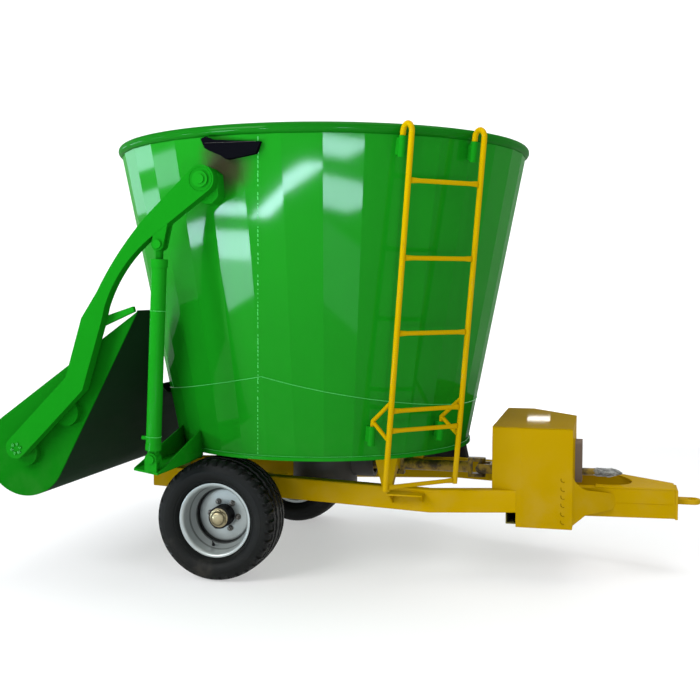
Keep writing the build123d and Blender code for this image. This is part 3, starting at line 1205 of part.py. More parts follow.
def discharge_chute():
    """Sloping plate below the door with a cheek on each side."""
    half = DOOR_W / 2
    y0 = -DOOR_FRAME_H / 2
    z0 = DOOR_FRAME_OUT
    lip_y, lip_z = y0 - CHUTE_DROP, z0 + CHUTE_REACH
    outline = Polygon((y0, z0), (y0 + CHUTE_T, z0), (lip_y + CHUTE_T, lip_z), (lip_y, lip_z), align=None)
    side = Polygon(
        (y0, z0), (y0 + CHUTE_T, z0), (y0 + CHUTE_T, z0 + CHUTE_CHEEK / 2),
        (lip_y + CHUTE_CHEEK, lip_z), (lip_y, lip_z), align=None
    )
    across = Plane((-half, 0, 0), x_dir=(0, 1, 0), z_dir=(1, 0, 0))
    chute = plate_on(across, outline, DOOR_W)
    for x in (-half, half - CHUTE_T):
        chute += plate_on(Plane((x, 0, 0), x_dir=(0, 1, 0), z_dir=(1, 0, 0)), side, CHUTE_T)
    return DOOR_PLANE * chute


def make_door():
    face_z = DOOR_FRAME_OUT + LOOSE
    plate = Pos(0, 0, face_z + DOOR_T / 2) * Box(DOOR_PLATE_W, DOOR_PLATE_H, DOOR_T)
    for y in (-DOOR_PLATE_H * 0.3, DOOR_PLATE_H * 0.2):
        plate += Pos(0, y, face_z + DOOR_T + 10) * Box(DOOR_PLATE_W * 0.8, 12, 20)
    barrel, ram = door_ram()
    return {
        "door_frame": Compound([door_frame(), door_guides()]),
        "door_cylinder": barrel,
        "door_plate": DOOR_PLANE * plate,
        "door_rod": ram,
        "discharge_chute": discharge_chute(),
    }


# Ladder
def ladder_plane():
    reach, top_reach = TUB_R_BOTTOM + LADDER_FOOT_GAP, TUB_R_TOP + LADDER_RIM_GAP
    a, b = radians(LADDER_AZIMUTH), atan2(top_reach - reach, TUB_TOP_Z - LADDER_FOOT_Z)
    out = (cos(b) * cos(a), cos(b) * sin(a), -sin(b))
    return Plane((reach * cos(a), reach * sin(a), LADDER_FOOT_Z), x_dir=(-sin(a), cos(a), 0), z_dir=out)


LADDER_PLANE = ladder_plane()


def ladder_rail(side):
    """Rail with a gooseneck at the top and a stand-off hook near the bottom."""
    x = side * LADDER_HALF_W
    top, bend = LADDER_HEIGHT, LADDER_BEND_R
    hook_end = top - HOOK_DROP
    shoulder = top - HOOK_SHOULDER
    path = Line((x, 0, 0), (x, top, 0))
    path += ThreePointArc((x, top, 0), (x, top + bend, -bend), (x, top, -2 * bend))
    path += Line((x, top, -2 * bend), (x, shoulder, -2 * bend))
    start = Plane((x, 0, 0), x_dir=(1, 0, 0), z_dir=(0, 1, 0)) * Circle(LADDER_TUBE_R)
    rail = sweep(start, path)
    rail += rod((x, shoulder, -2 * bend), (x, hook_end, -2 * bend), HOOK_R)
    apex = (x, LOWER_HOOK_HEIGHT, -LOWER_HOOK_REACH)
    rail += rod((x, LOWER_HOOK_HEIGHT + HOOK_STRUT_UP, 0), apex, HOOK_R)
    rail += rod((x, LOWER_HOOK_HEIGHT - HOOK_STRUT_DOWN, 0), apex, HOOK_R)
    rail += Pos(*apex) * Sphere(HOOK_R)
    rail += rod(apex, (x, LOWER_HOOK_HEIGHT - LOWER_HOOK_DROP, -LOWER_HOOK_REACH), HOOK_R)
    return rail


def make_ladder():
    inside = LADDER_HALF_W - LADDER_TUBE_R - SEAT
    rungs = [rod((-inside, y, 0), (inside, y, 0), LADDER_RUNG_R) for y in RUNG_HEIGHTS]
    sockets = []
    for side in (-1, 1):
        x = side * LADDER_HALF_W
        upper = (x, LADDER_HEIGHT - HOOK_SHOULDER - LOOSE, -2 * LADDER_BEND_R)
        lower = (x, LOWER_HOOK_HEIGHT - 2.5 * HOOK_R, -LOWER_HOOK_REACH)
        for px, py, pz in (upper, lower):
            column = Plane((px, py - SOCKET_H, pz), x_dir=(1, 0, 0), z_dir=(0, 1, 0))
            web = Box(SOCKET_WEB_T, SOCKET_H * 0.8, SOCKET_WEB)
            web = Pos(px, py - SOCKET_H / 2, pz - SOCKET_WEB / 2) * web
            socket = LADDER_PLANE * web - TUB_ENVELOPE
            socket += LADDER_PLANE * column * Cylinder(SOCKET_R, SOCKET_H, align=LOW)
            socket -= LADDER_PLANE * column * Cylinder(SOCKET_BORE_R, 4 * SOCKET_H)
            sockets.append(socket - TUB_ENVELOPE)
    return {
        "ladder_rails": Compound([LADDER_PLANE * ladder_rail(side) for side in (-1, 1)]),
        "ladder_rungs": LADDER_PLANE * Compound(rungs),
        "ladder_sockets": Compound(sockets),
    }


# The whole wagon
def all_parts():
    parts = {}
    parts.update(make_tub())
    parts.update(make_auger())
    parts.update(make_gearbox())
    parts.update(make_bearings())
    parts.update(make_driveline())
    beam = side_beam()
    parts["side_beams"] = pair(other_side(beam))
    parts["cross_beams"] = cross_beams()
    parts["tub_posts"] = tub_posts()
    parts.update(axle_parts())
    parts["step_bracket"] = step_bracket()
    parts.update(make_drive_box())
    parts.update(make_drawbar())
    for name, piece in make_wheel().items():
        parts[name + "_right"] = piece
        parts[name + "_left"] = other_side(piece)
    parts.update(make_hopper())
    parts.update(make_arms())
    parts.update(make_arm_brackets())
    parts.update(make_lift())
    parts.update(make_door())
    parts.update(make_ladder())
    middle_x = (HOPPER_ROUND[0] - HOPPER_ROUND_R + EYE_X + EYE_R) / 2
    return {name: Pos(-middle_x, 0, 0) * piece for name, piece in parts.items()}


def main():
    os.makedirs("parts", exist_ok=True)
    for name, piece in all_parts().items():
        export_step(piece, f"parts/{name}.step")


main()
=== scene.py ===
"""Finishes, moulded, welded and wrapped details of a vertical feed mixer wagon."""

import json
from math import atan2, ceil, cos, hypot, pi, radians, sin

import bmesh
import bpy
from mathutils import Matrix, Vector, noise

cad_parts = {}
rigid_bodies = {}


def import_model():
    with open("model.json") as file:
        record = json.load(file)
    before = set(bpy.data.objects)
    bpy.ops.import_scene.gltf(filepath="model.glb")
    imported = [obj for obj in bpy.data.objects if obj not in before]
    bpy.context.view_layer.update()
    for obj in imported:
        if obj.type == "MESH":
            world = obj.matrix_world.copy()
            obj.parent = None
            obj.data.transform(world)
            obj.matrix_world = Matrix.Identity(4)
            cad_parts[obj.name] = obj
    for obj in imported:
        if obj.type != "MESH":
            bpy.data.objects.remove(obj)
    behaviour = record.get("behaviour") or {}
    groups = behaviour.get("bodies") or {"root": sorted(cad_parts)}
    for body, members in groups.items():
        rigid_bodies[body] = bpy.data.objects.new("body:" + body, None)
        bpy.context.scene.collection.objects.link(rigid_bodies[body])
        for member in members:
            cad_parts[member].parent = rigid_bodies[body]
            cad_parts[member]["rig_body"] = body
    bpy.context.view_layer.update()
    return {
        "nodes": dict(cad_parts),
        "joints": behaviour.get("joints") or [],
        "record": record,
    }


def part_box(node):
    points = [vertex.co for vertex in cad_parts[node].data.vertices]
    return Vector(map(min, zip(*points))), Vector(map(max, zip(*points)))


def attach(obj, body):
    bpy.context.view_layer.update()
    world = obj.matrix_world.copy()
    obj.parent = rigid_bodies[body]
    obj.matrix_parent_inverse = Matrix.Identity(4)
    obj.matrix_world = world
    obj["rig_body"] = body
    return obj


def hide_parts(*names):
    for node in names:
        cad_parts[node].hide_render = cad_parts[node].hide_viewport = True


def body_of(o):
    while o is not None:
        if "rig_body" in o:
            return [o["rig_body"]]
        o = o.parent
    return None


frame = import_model()

bl_info = {
    "name": "Feed mixer wagon",
    "version": (1, 0, 0),
    "blender": (4, 5, 0),
    "location": "View3D > Sidebar > Wagon",
    "description": "Builds the looks of a vertical feed mixer wagon on its fixed frame",
    "category": "Object",
}

# Places taken from the frame, in metres
JOINT_PLACE = {joint["name"]: Vector(joint.get("pos_m", (0, 0, 0))) for joint in frame["joints"]}
TUB_X = JOINT_PLACE["auger_spin"].x
AXLE = {side: JOINT_PLACE[f"wheel_{side}_spin"] for side in ("left", "right")}
SIDE_SIGN = {"left": 1, "right": -1}
DRIVE_Z = JOINT_PLACE["driveline_spin"].z

# Material slot of every solid
NODE_SLOT = {row["node"]: row["material_slot"] for row in frame["record"]["subparts"]}

# Paint burnt by welding the rim brackets
SCORCHED_SPOTS = ((-0.575, 1.19, 2.335), (-0.50, 1.19, 2.29))
SCORCHED = [(x, side * y, z) for side in (-1, 1) for x, y, z in SCORCHED_SPOTS]

# Rings of painted shade in the rims' recesses: radii where each starts, is full, fades and ends, and its
# share
RECESS_SHADE_RINGS = ((0.1490, 0.1570, 0.1625, 0.1660, 0.85), (0.1825, 0.1845, 0.1858, 0.1872, 0.6))

# The tub's faceted cone, with the radius and height of both ends
FACETS = 36
FACET_STEP = 360.0 / FACETS
SEAM_AZIMUTH = 265.0
TUB_BOTTOM = (0.912, 0.734)
TUB_TOP = (1.249, 2.464)
TUB_SLOPE = (TUB_TOP[0] - TUB_BOTTOM[0]) / (TUB_TOP[1] - TUB_BOTTOM[1])
FACET_COS = cos(pi / FACETS)


# Settings that a user would change
class WagonPaint(bpy.types.PropertyGroup):
    green: bpy.props.FloatVectorProperty(
        name="Green paint", description="Colour of the tub, hopper and lift arms",
        subtype="COLOR", min=0, max=1, default=(0.005, 0.168, 0.0055))
    yellow: bpy.props.FloatVectorProperty(
        name="Yellow paint", description="Colour of the chassis, drawbar and ladder",
        subtype="COLOR", min=0, max=1, default=(0.38, 0.230, 0.0))
    black: bpy.props.FloatVectorProperty(
        name="Dark paint", description="Colour of the hubs, axle and chute",
        subtype="COLOR", min=0, max=1, default=(0.008, 0.008, 0.009))
    silver: bpy.props.FloatVectorProperty(
        name="Wheel silver", description="Colour of the wheel rims",
        subtype="COLOR", min=0, max=1, default=(0.34, 0.37, 0.36))
    brass: bpy.props.FloatVectorProperty(
        name="Cap plating", description="Colour of the yellow plated hub caps",
        subtype="COLOR", min=0, max=1, default=(0.31, 0.265, 0.16))
    rubber: bpy.props.FloatVectorProperty(
        name="Tyre rubber", description="Colour of the tyres",
        subtype="COLOR", min=0, max=1, default=(0.0048, 0.0054, 0.0051))


class WagonWheel(bpy.types.PropertyGroup):
    pitches: bpy.props.IntProperty(
        name="Tread pitches", description="Shoulder blocks round the tyre", min=12, max=60, default=38)
    groove: bpy.props.FloatProperty(
        name="Groove depth", description="Depth of the tread's grooves", unit="LENGTH", default=0.009)
    zigzag: bpy.props.FloatProperty(
        name="Zigzag", description="Sideways swing of the grooves", unit="LENGTH", default=0.005)


class WagonWeld(bpy.types.PropertyGroup):
    bead: bpy.props.FloatProperty(
        name="Bead", description="Half width of a weld bead", unit="LENGTH", default=0.0042)
    ripple: bpy.props.FloatProperty(
        name="Ripple", description="Distance from one ripple of a bead to the next",
        unit="LENGTH", default=0.012)


class WagonStage(bpy.types.PropertyGroup):
    floor: bpy.props.FloatVectorProperty(
        name="Floor", description="Colour of the floor and backdrop",
        subtype="COLOR", min=0, max=1, default=(0.48, 0.48, 0.48))
    eye: bpy.props.FloatVectorProperty(
        name="Camera place", description="Where the camera stands",
        subtype="TRANSLATION", default=(1.4368, -6.3427, 1.6676))
    turn: bpy.props.FloatVectorProperty(
        name="Camera turn", description="The camera's rotation",
        subtype="EULER", default=(radians(86.6), 0, radians(14.12)))
    lens: bpy.props.FloatProperty(
        name="Lens", description="Focal length", unit="CAMERA", default=53.11)


# Shader maths
class Value:
    """Output of a node, with arithmetic: an expression on values adds its Math nodes."""

    def __init__(self, finish, socket):
        self.finish = finish
        self.socket = socket

    def math(self, operation, *operands):
        return self.finish.node("ShaderNodeMath", {"operation": operation}, dict(enumerate(operands)))

    def __add__(self, other):
        return self.math("ADD", self, other)

    def __sub__(self, other):
        return self.math("SUBTRACT", self, other)

    def __rsub__(self, other):
        return self.math("SUBTRACT", other, self)

    def __mul__(self, other):
        return self.math("MULTIPLY", self, other)

    __radd__ = __add__
    __rmul__ = __mul__

    def step(self, low, high):
        """0 below low, 1 above high, smooth between."""
        settings = {"interpolation_type": "SMOOTHSTEP", "clamp": True}
        return self.finish.node("ShaderNodeMapRange", settings, {0: self, 1: low, 2: high, 3: 0.0, 4: 1.0})


class Finish:
    """Material with its node tree, and the calls that add to it."""

    def __init__(self, name):
        self.material = bpy.data.materials.new(name)
        self.material.use_nodes = True
        self.tree = self.material.node_tree
        self.shader = self.tree.nodes["Principled BSDF"]
        self.place = self.node("ShaderNodeTexCoord", {}, {}, "Object")

    def node(self, kind, settings, sockets, output=0):
        """Adds a node, sets its settings, then the values or links of its sockets."""
        made = self.tree.nodes.new(kind)
        for key, setting in settings.items():
            setattr(made, key, setting)
        for key, value in sockets.items():
            self.feed(made.inputs[key], value)
        return Value(self, made.outputs[output])

    def feed(self, socket, value):
        if isinstance(value, Value):
            self.tree.links.new(value.socket, socket)
        else:
            socket.default_value = value

    def noise(self, scale, detail=4.0, roughness=0.55, place=None):
        sockets = {"Vector": place or self.place, "Scale": scale, "Detail": detail, "Roughness": roughness}
        return self.node("ShaderNodeTexNoise", {"normalize": True}, sockets)

    def stretched(self, scale):
        """Object coordinates with their own scale on each axis."""
        return self.node("ShaderNodeMapping", {}, {"Vector": self.place, "Scale": scale})

    def distance(self, spot, place=None):
        """Distance from a spot."""
        sockets = {0: place or self.place, 1: spot}
        return self.node("ShaderNodeVectorMath", {"operation": "DISTANCE"}, sockets, "Value")

    def axle_radius(self):
        """Distance from the axle's line."""
        axle = AXLE["right"]
        sockets = {0: self.place, 1: (1.0, 0.0, 1.0)}
        flat = self.node("ShaderNodeVectorMath", {"operation": "MULTIPLY"}, sockets)
        return self.distance((axle.x, 0.0, axle.z), flat)

    def height(self):
        """Height above the ground."""
        return self.node("ShaderNodeSeparateXYZ", {}, {0: self.place}, "Z")

    def mix(self, first, second, share):
        """Colour between two colours."""
        colours = [c if isinstance(c, Value) else (*c, 1.0) for c in (first, second)]
        return self.node(
            "ShaderNodeMix", {"data_type": "RGBA", "clamp_factor": True},
            {0: share, 6: colours[0], 7: colours[1]}, 2)

    def bump(self, height, distance, strength, normal=None):
        sockets = {"Height": height, "Distance": distance, "Strength": strength}
        if normal is not None:
            sockets["Normal"] = normal
        return self.node("ShaderNodeBump", {}, sockets)

    def done(self, **sockets):
        for name, value in sockets.items():
            self.feed(self.shader.inputs[name.replace("_", " ")], value)
        return self.material


def shade(colour, amount):
    return tuple(min(1.0, part * amount) for part in colour)


DUST = (0.3, 0.27, 0.21)
TYRE_DUST = (0.16, 0.14, 0.11)
SCORCH = (0.03, 0.022, 0.014)
RECESS_SHADE = (0.025, 0.024, 0.022)
DIRT = (0.2, 0.18, 0.15)
RUST = (0.19, 0.085, 0.035)
# Sprayed paints: the colour or the setting that holds it, its share, roughness, waviness of the sheet,
# dust, weight of the coat and the coat's roughness
GLOSS_PAINTS = {
    "green_paint": ("green", 1.0, 0.36, 0.004, 0.06, 0.035, 0.14),
    # Darker copies of the green as painted shade: a little on the tub, more on the hopper, lift arms and
    # rim tube
    "tub_green": ("green", 0.93, 0.34, 0.012, 0.06, 0.14, 0.055),
    "hopper_green": ("green", 0.64, 0.45, 0.004, 0.04, 0.0, 0.05),
    "arm_green": ("green", 0.84, 0.4, 0.004, 0.04, 0.0, 0.05),
    "rim_green": ("green", 0.6, 0.36, 0.004, 0.0, 0.1, 0.05),
    "yellow_paint": ("yellow", 1.0, 0.38, 0.003, 0.06, 0.05, 0.05),
    # Darker copies of the yellow as painted shade: on the drive box, and more on its lid, where it stands
    # for a dark reflection
    "box_yellow": ("yellow", 0.86, 0.38, 0.003, 0.06, 0.05, 0.05),
    "lid_yellow": ("yellow", 0.7, 0.4, 0.003, 0.05, 0.03, 0.035),
    "dark_paint": ("black", 1.0, 0.42, 0.002, 0.12, 0.1, 0.05),
    "primer_brown": ((0.2, 0.155, 0.125), 1.0, 0.5, 0.001, 0.05, 0.0, 0.05),
    # Over a weld bead, lighter where the spray built up on it
    "weld_green": ((0.05, 0.36, 0.07), 1.0, 0.3, 0.001, 0.0, 0.4, 0.05),
    "weld_yellow": ("yellow", 0.6, 0.4, 0.001, 0.0, 0.2, 0.05),
    # Black mill skin of hot rolled plate
    "flat_black": ((0.0025, 0.0025, 0.0035), 1.0, 0.55, 0.001, 0.0, 0.0, 0.05),
    # Yellow sprayed thinly over dark steel
    "olive_paint": ((0.17, 0.155, 0.045), 1.0, 0.45, 0.001, 0.05, 0.02, 0.05),
}
FINISHES = {}


def finish(name):
    """Material by name, made when it is first asked for."""
    if name not in FINISHES:
        FINISHES[name] = gloss_paint(name) if name in GLOSS_PAINTS else OTHER_FINISHES[name]()
    return FINISHES[name]


def gloss_paint(name):
    """Sprayed paint on sheet metal: slow waves, fine peel, faint runs, dust low down and scorches."""
    source, share, rough, waviness, dust, coat, coat_rough = GLOSS_PAINTS[name]
    colour = getattr(bpy.context.scene.wagon_paint, source) if isinstance(source, str) else source
    # A share below 1 darkens the colour; for the tub, hopper, arm, rim tube, box and lid paints it is
    # painted shade
    colour = shade(colour, share)
    f = Finish(name)
    broad = f.noise(0.9, 3.0)
    cloud = f.noise(7.0, 5.0, 0.6)
    runs = f.noise(1.0, 3.0, 0.5, f.stretched((26.0, 26.0, 0.9)))
    tone = f.mix(shade(colour, 0.86), shade(colour, 1.1), broad * 0.6 + cloud * 0.25 + runs * 0.15)
    low_dust = (1.0 - f.height().step(0.15, 1.0)) * cloud.step(0.42, 0.72) * dust
    tone = f.mix(tone, DUST, low_dust)
    for spot in SCORCHED if name == "tub_green" else ():
        burnt = 1.0 - (f.distance(spot) + (cloud - 0.5) * 0.12).step(0.02, 0.16)
        tone = f.mix(tone, SCORCH, burnt * 0.85)
    peel = f.noise(170.0, 2.0)
    wave = f.noise(2.6, 2.0)
    normal = f.bump(peel, 0.0005, 0.14)
    normal = f.bump(wave, waviness, 0.6, normal)
    grain = f.noise(34.0, 4.0)
    return f.done(
        Base_Color=tone, Roughness=rough + (cloud - 0.5) * 0.12 + (grain - 0.5) * 0.06 + low_dust * 0.4,
        Normal=normal, Coat_Weight=coat, Coat_Roughness=coat_rough, Specular_IOR_Level=0.0)


def worn_yellow():
    """Old yellow on shaft parts, rubbed and greasy."""
    f = Finish("worn_yellow")
    cloud = f.noise(16.0, 6.0, 0.65)
    tone = f.mix((0.05, 0.034, 0.012), (0.27, 0.17, 0.012), cloud.step(0.4, 0.62))
    return f.done(
        Base_Color=tone, Roughness=0.42 + (cloud - 0.5) * 0.4, Normal=f.bump(cloud, 0.002, 0.4),
        Specular_IOR_Level=0.25)


def scuffed_green():
    """Thin green, dark as painted shade, on the sheet that the feed slides over, whose outside faces the
    ground and the tub: rough, rubbed along its slope.
    """
    f = Finish("scuffed_green")
    rub = f.noise(9.0, 6.0, 0.65, f.stretched((1.0, 0.25, 1.0)))
    cloud = f.noise(3.0, 4.0)
    # Both tones are dark greens that stand for the shade on this sheet: painted shade
    tone = f.mix((0.002, 0.010, 0.003), (0.006, 0.026, 0.008), rub * 0.6 + cloud * 0.4)
    return f.done(
        Base_Color=tone, Roughness=0.75 + (rub - 0.5) * 0.3, Normal=f.bump(rub, 0.002, 0.3),
        Specular_IOR_Level=0.04)


def grey_casting():
    f = Finish("grey_casting")
    cloud = f.noise(12.0, 5.0)
    sand = f.noise(240.0, 3.0)
    tone = f.mix((0.012, 0.011, 0.01), (0.04, 0.036, 0.03), cloud)
    return f.done(
        Base_Color=tone, Roughness=0.55 + (cloud - 0.5) * 0.2, Normal=f.bump(sand, 0.0008, 0.5),
        Metallic=0.2)


def bare_steel():
    """Rolled steel with scuffs along the work's direction and a light bloom of rust."""
    f = Finish("bare_steel")
    scuff = f.noise(40.0, 6.0, 0.7, f.stretched((1.0, 1.0, 0.12)))
    cloud = f.noise(5.0, 6.0, 0.65)
    bloom = cloud.step(0.56, 0.72)
    steel = f.mix((0.30, 0.29, 0.28), (0.50, 0.49, 0.47), scuff)
    tone = f.mix(steel, RUST, bloom * 0.55)
    return f.done(
        Base_Color=tone, Roughness=0.32 + scuff * 0.16 + bloom * 0.3, Metallic=1.0 - bloom * 0.55,
        Normal=f.bump(scuff, 0.0006, 0.35))


def zinc():
    f = Finish("zinc_plating")
    cloud = f.noise(60.0, 4.0)
    tone = f.mix((0.06, 0.058, 0.052), (0.2, 0.19, 0.17), cloud)
    return f.done(
        Base_Color=tone, Roughness=0.3 + cloud * 0.25, Metallic=0.9, Normal=f.bump(cloud, 0.0004, 0.3))


def chromed_rod():
    f = Finish("chromed_rod")
    grind = f.noise(300.0, 2.0, 0.5, f.stretched((1.0, 1.0, 8.0)))
    tone = f.mix((0.66, 0.67, 0.68), (0.8, 0.8, 0.81), grind)
    return f.done(Base_Color=tone, Roughness=0.07 + grind * 0.08, Metallic=1.0)


def tyre_rubber():
    f = Finish("tyre_rubber")
    colour = bpy.context.scene.wagon_paint.rubber
    cloud = f.noise(9.0, 5.0, 0.6)
    speck = f.noise(130.0, 3.0)
    dust = cloud.step(0.5, 0.8) * (1.0 - f.height().step(0.02, 0.5)) * 0.12
    tone = f.mix(shade(colour, 0.8), shade(colour, 1.5), cloud)
    tone = f.mix(tone, TYRE_DUST, dust)
    return f.done(
        Base_Color=tone, Roughness=0.55 + (cloud - 0.5) * 0.25 + dust * 0.3,
        Normal=f.bump(speck, 0.0007, 0.3), Specular_IOR_Level=0.12)


def wheel_silver():
    f = Finish("wheel_silver")
    colour = bpy.context.scene.wagon_paint.silver
    cloud = f.noise(14.0, 4.0)
    flake = f.noise(420.0, 2.0)
    tone = f.mix(shade(colour, 0.82), shade(colour, 1.1), cloud * 0.7 + flake * 0.3)
    dirt = f.noise(5.0, 6.0, 0.65).step(0.55, 0.8)
    tone = f.mix(tone, DIRT, dirt * 0.3)
    radius = f.axle_radius()
    # Darker rings in the rim's grooves: painted shade
    for low, full, fading, high, share in RECESS_SHADE_RINGS:
        recess_shade = radius.step(low, full) * (1.0 - radius.step(fading, high))
        tone = f.mix(tone, RECESS_SHADE, recess_shade * share)
    return f.done(
        Base_Color=tone, Metallic=0.5, Roughness=0.3 + cloud * 0.14 + dirt * 0.25, Coat_Weight=0.3,
        Coat_Roughness=0.08, Specular_IOR_Level=0.3, Normal=f.bump(f.noise(90.0, 2.0), 0.0004, 0.2))


def brass_cap():
    f = Finish("brass_cap")
    colour = bpy.context.scene.wagon_paint.brass
    cloud = f.noise(38.0, 5.0, 0.6)
    tone = f.mix(shade(colour, 0.6), shade(colour, 1.2), cloud)
    tone = f.mix(tone, (0.62, 0.46, 0.5), cloud.step(0.62, 0.8) * 0.4)
    return f.done(
        Base_Color=tone, Roughness=0.2 + cloud * 0.2, Metallic=1.0, Normal=f.bump(cloud, 0.0005, 0.25))


def grey_film():
    """Stretch film wound round a shaft: silvery, creased, with glossy folds."""
    f = Finish("grey_film")
    crease = f.noise(22.0, 6.0, 0.7, f.stretched((1.0, 2.6, 2.6)))
    fine = f.noise(90.0, 4.0)
    # Darker in the hollows of the creases and lighter on their ridges: painted shade and painted sheen
    tone = f.mix((0.05, 0.053, 0.05), (0.40, 0.41, 0.38), crease.step(0.32, 0.68))
    normal = f.bump(fine, 0.002, 0.5)
    return f.done(
        Base_Color=tone, Roughness=0.22 + fine * 0.2, Normal=f.bump(crease, 0.012, 0.9, normal),
        Coat_Weight=0.7, Coat_Roughness=0.12)


def floor_white():
    f = Finish("studio_floor")
    colour = bpy.context.scene.wagon_stage.floor
    cloud = f.noise(0.35, 3.0)
    tone = f.mix(shade(colour, 0.985), shade(colour, 1.015), cloud)
    return f.done(
        Base_Color=tone, Roughness=0.62 + (cloud - 0.5) * 0.05, Emission_Color=(1.0, 1.0, 1.0, 1.0),
        Emission_Strength=0.42)


OTHER_FINISHES = {
    "worn_yellow": worn_yellow, "scuffed_green": scuffed_green, "grey_casting": grey_casting,
    "bare_steel": bare_steel, "zinc": zinc, "chromed_rod": chromed_rod, "tyre_rubber": tyre_rubber,
    "wheel_silver": wheel_silver, "brass_cap": brass_cap, "grey_film": grey_film,
    "floor_white": floor_white,
}


# Mesh helpers
SHARP_ANGLE = 35.0
MERGE = 1e-6
NODE_MERGE = 1e-5       # for the loose triangles of a solid's mesh


def put_object(name, data):
    made = bpy.data.objects.new(name, data)
    bpy.context.scene.collection.objects.link(made)
    return made


def smooth_object(name, bm, finish_name):
    """Turns a bmesh into an object that is shaded smooth."""
    mesh = bpy.data.meshes.new(name)
    bm.to_mesh(mesh)
    bm.free()
    mesh.polygons.foreach_set("use_smooth", [True] * len(mesh.polygons))
    mesh.materials.append(finish(finish_name))
    return put_object(name, mesh)


def place_piece(name, bm, body, slot, finish_name=None, sharp=SHARP_ANGLE):
    """Turns a bmesh into a piece that rides on a body."""
    piece = smooth_object(name, bm, finish_name or slot)
    piece.data.set_sharp_from_angle(angle=radians(sharp))
    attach(piece, body)
    return piece


def only(kind, geometry):
    """Those parts of an operator's result that are of one kind."""
    return [part for part in geometry if isinstance(part, kind)]


def node_copy(node):
    """Merged copy of a solid's mesh."""
    bm = bmesh.new()
    bm.from_mesh(node.data)
    bmesh.ops.remove_doubles(bm, verts=bm.verts, dist=NODE_MERGE)
    return bm


def tidy_shell(bm):
    bmesh.ops.remove_doubles(bm, verts=bm.verts, dist=MERGE)
    bmesh.ops.recalc_face_normals(bm, faces=bm.faces)


def spin_profile(bm, points, centre, axis, steps, closed):
    """Full spin of a profile, given as points in place, about an axis."""
    verts = [bm.verts.new(point) for point in points]
    ends = verts[1:] + verts[:1] if closed else verts[1:]
    edges = [bm.edges.new(pair) for pair in zip(verts, ends)]
    bmesh.ops.spin(
        bm, geom=verts + edges, cent=centre, axis=axis, angle=2 * pi, steps=steps, use_merge=True)


def turned_shape(outline, steps):
    """Shape turned about the Z axis from an open outline of radii and heights."""
    bm = bmesh.new()
    spin_profile(bm, [(r, 0, z) for r, z in outline], (0, 0, 0), (0, 0, 1), steps, False)
    tidy_shell(bm)
    return bm


def wheel_spin(bm, side, outline, steps):
    """Closed outline spun about an axle: points are (radius, distance outwards from the wheel's middle)."""
    hub = AXLE[side]
    points = [(hub.x + r, hub.y + SIDE_SIGN[side] * y, hub.z) for r, y in outline]
    spin_profile(bm, points, hub, (0, 1, 0), steps, True)


def frame_along(direction):
    """Rotation that turns the Z axis into a direction."""
    return Vector(direction).to_track_quat("Z", "Y").to_matrix().to_4x4()


def ring_points(centre, axis, radius, count, start=0.0, span=360.0):
    """Points round an axis, from a start angle over a span."""
    place = Matrix.Translation(centre) @ frame_along(axis)
    turns = [radians(start + span * i / count) for i in range(count + 1)]
    return [place @ Vector((radius * cos(a), radius * sin(a), 0)) for a in turns]


def tub_point(azimuth, z, proud):
    """Point on the tub's faceted outside."""
    off = (azimuth - SEAM_AZIMUTH) % FACET_STEP - FACET_STEP / 2
    radius = (TUB_BOTTOM[0] + (z - TUB_BOTTOM[1]) * TUB_SLOPE) * FACET_COS / cos(radians(off)) + proud
    return Vector((TUB_X + radius * cos(radians(azimuth)), radius * sin(radians(azimuth)), z))


# Weld beads: shares of the half width at the ends and at every other ring, and how it wanders
BEAD_END = 0.45
BEAD_RIPPLES = (0.86, 1.12)
BEAD_UNEVEN = 0.16
BEAD_GRAIN = 90.0
BEAD_FLAT = 0.6
BEAD_SIDES = 8
BEAD_SHARP = 60.0


def bead_on(bm, points, radius, ripple):
    """Weld bead along a line of points: a low tube whose thickness ripples, closed at both ends."""
    line = [Vector(p) for p in points]
    spots = [line[0]]
    for a, b in zip(line, line[1:]):
        parts = max(1, ceil((b - a).length / (ripple / 2)))
        spots += [a.lerp(b, (i + 1) / parts) for i in range(parts)]
    ring = None
    for i, spot in enumerate(spots):
        ahead = spots[min(i + 1, len(spots) - 1)] - spots[max(i - 1, 0)]
        end = i in (0, len(spots) - 1)
        uneven = BEAD_UNEVEN * noise.noise(spot * BEAD_GRAIN)
        size = radius * (BEAD_END if end else BEAD_RIPPLES[i % 2] + uneven)
        section = Matrix.Diagonal((size, size * BEAD_FLAT, 1, 1))
        place = Matrix.Translation(spot) @ frame_along(ahead) @ section
        made = bmesh.ops.create_circle(bm, cap_ends=False, radius=1.0, segments=BEAD_SIDES, matrix=place)
        edges = list({e for v in made["verts"] for e in v.link_edges})
        if ring is not None:
            bmesh.ops.bridge_loops(bm, edges=ring + edges)
        if end:
            bmesh.ops.contextual_create(bm, geom=edges)
        ring = edges


def lay_beads(name, lines, body, slot, finish_name=None, ripple=1.0):
    """Piece made of weld beads: lines of points by their share of a full bead's width."""
    weld = bpy.context.scene.wagon_weld
    bm = bmesh.new()
    for share, group in lines.items():
        for line in group:
            bead_on(bm, line, weld.bead * share, weld.ripple * ripple)
    place_piece(name, bm, body, slot, finish_name, sharp=BEAD_SHARP)


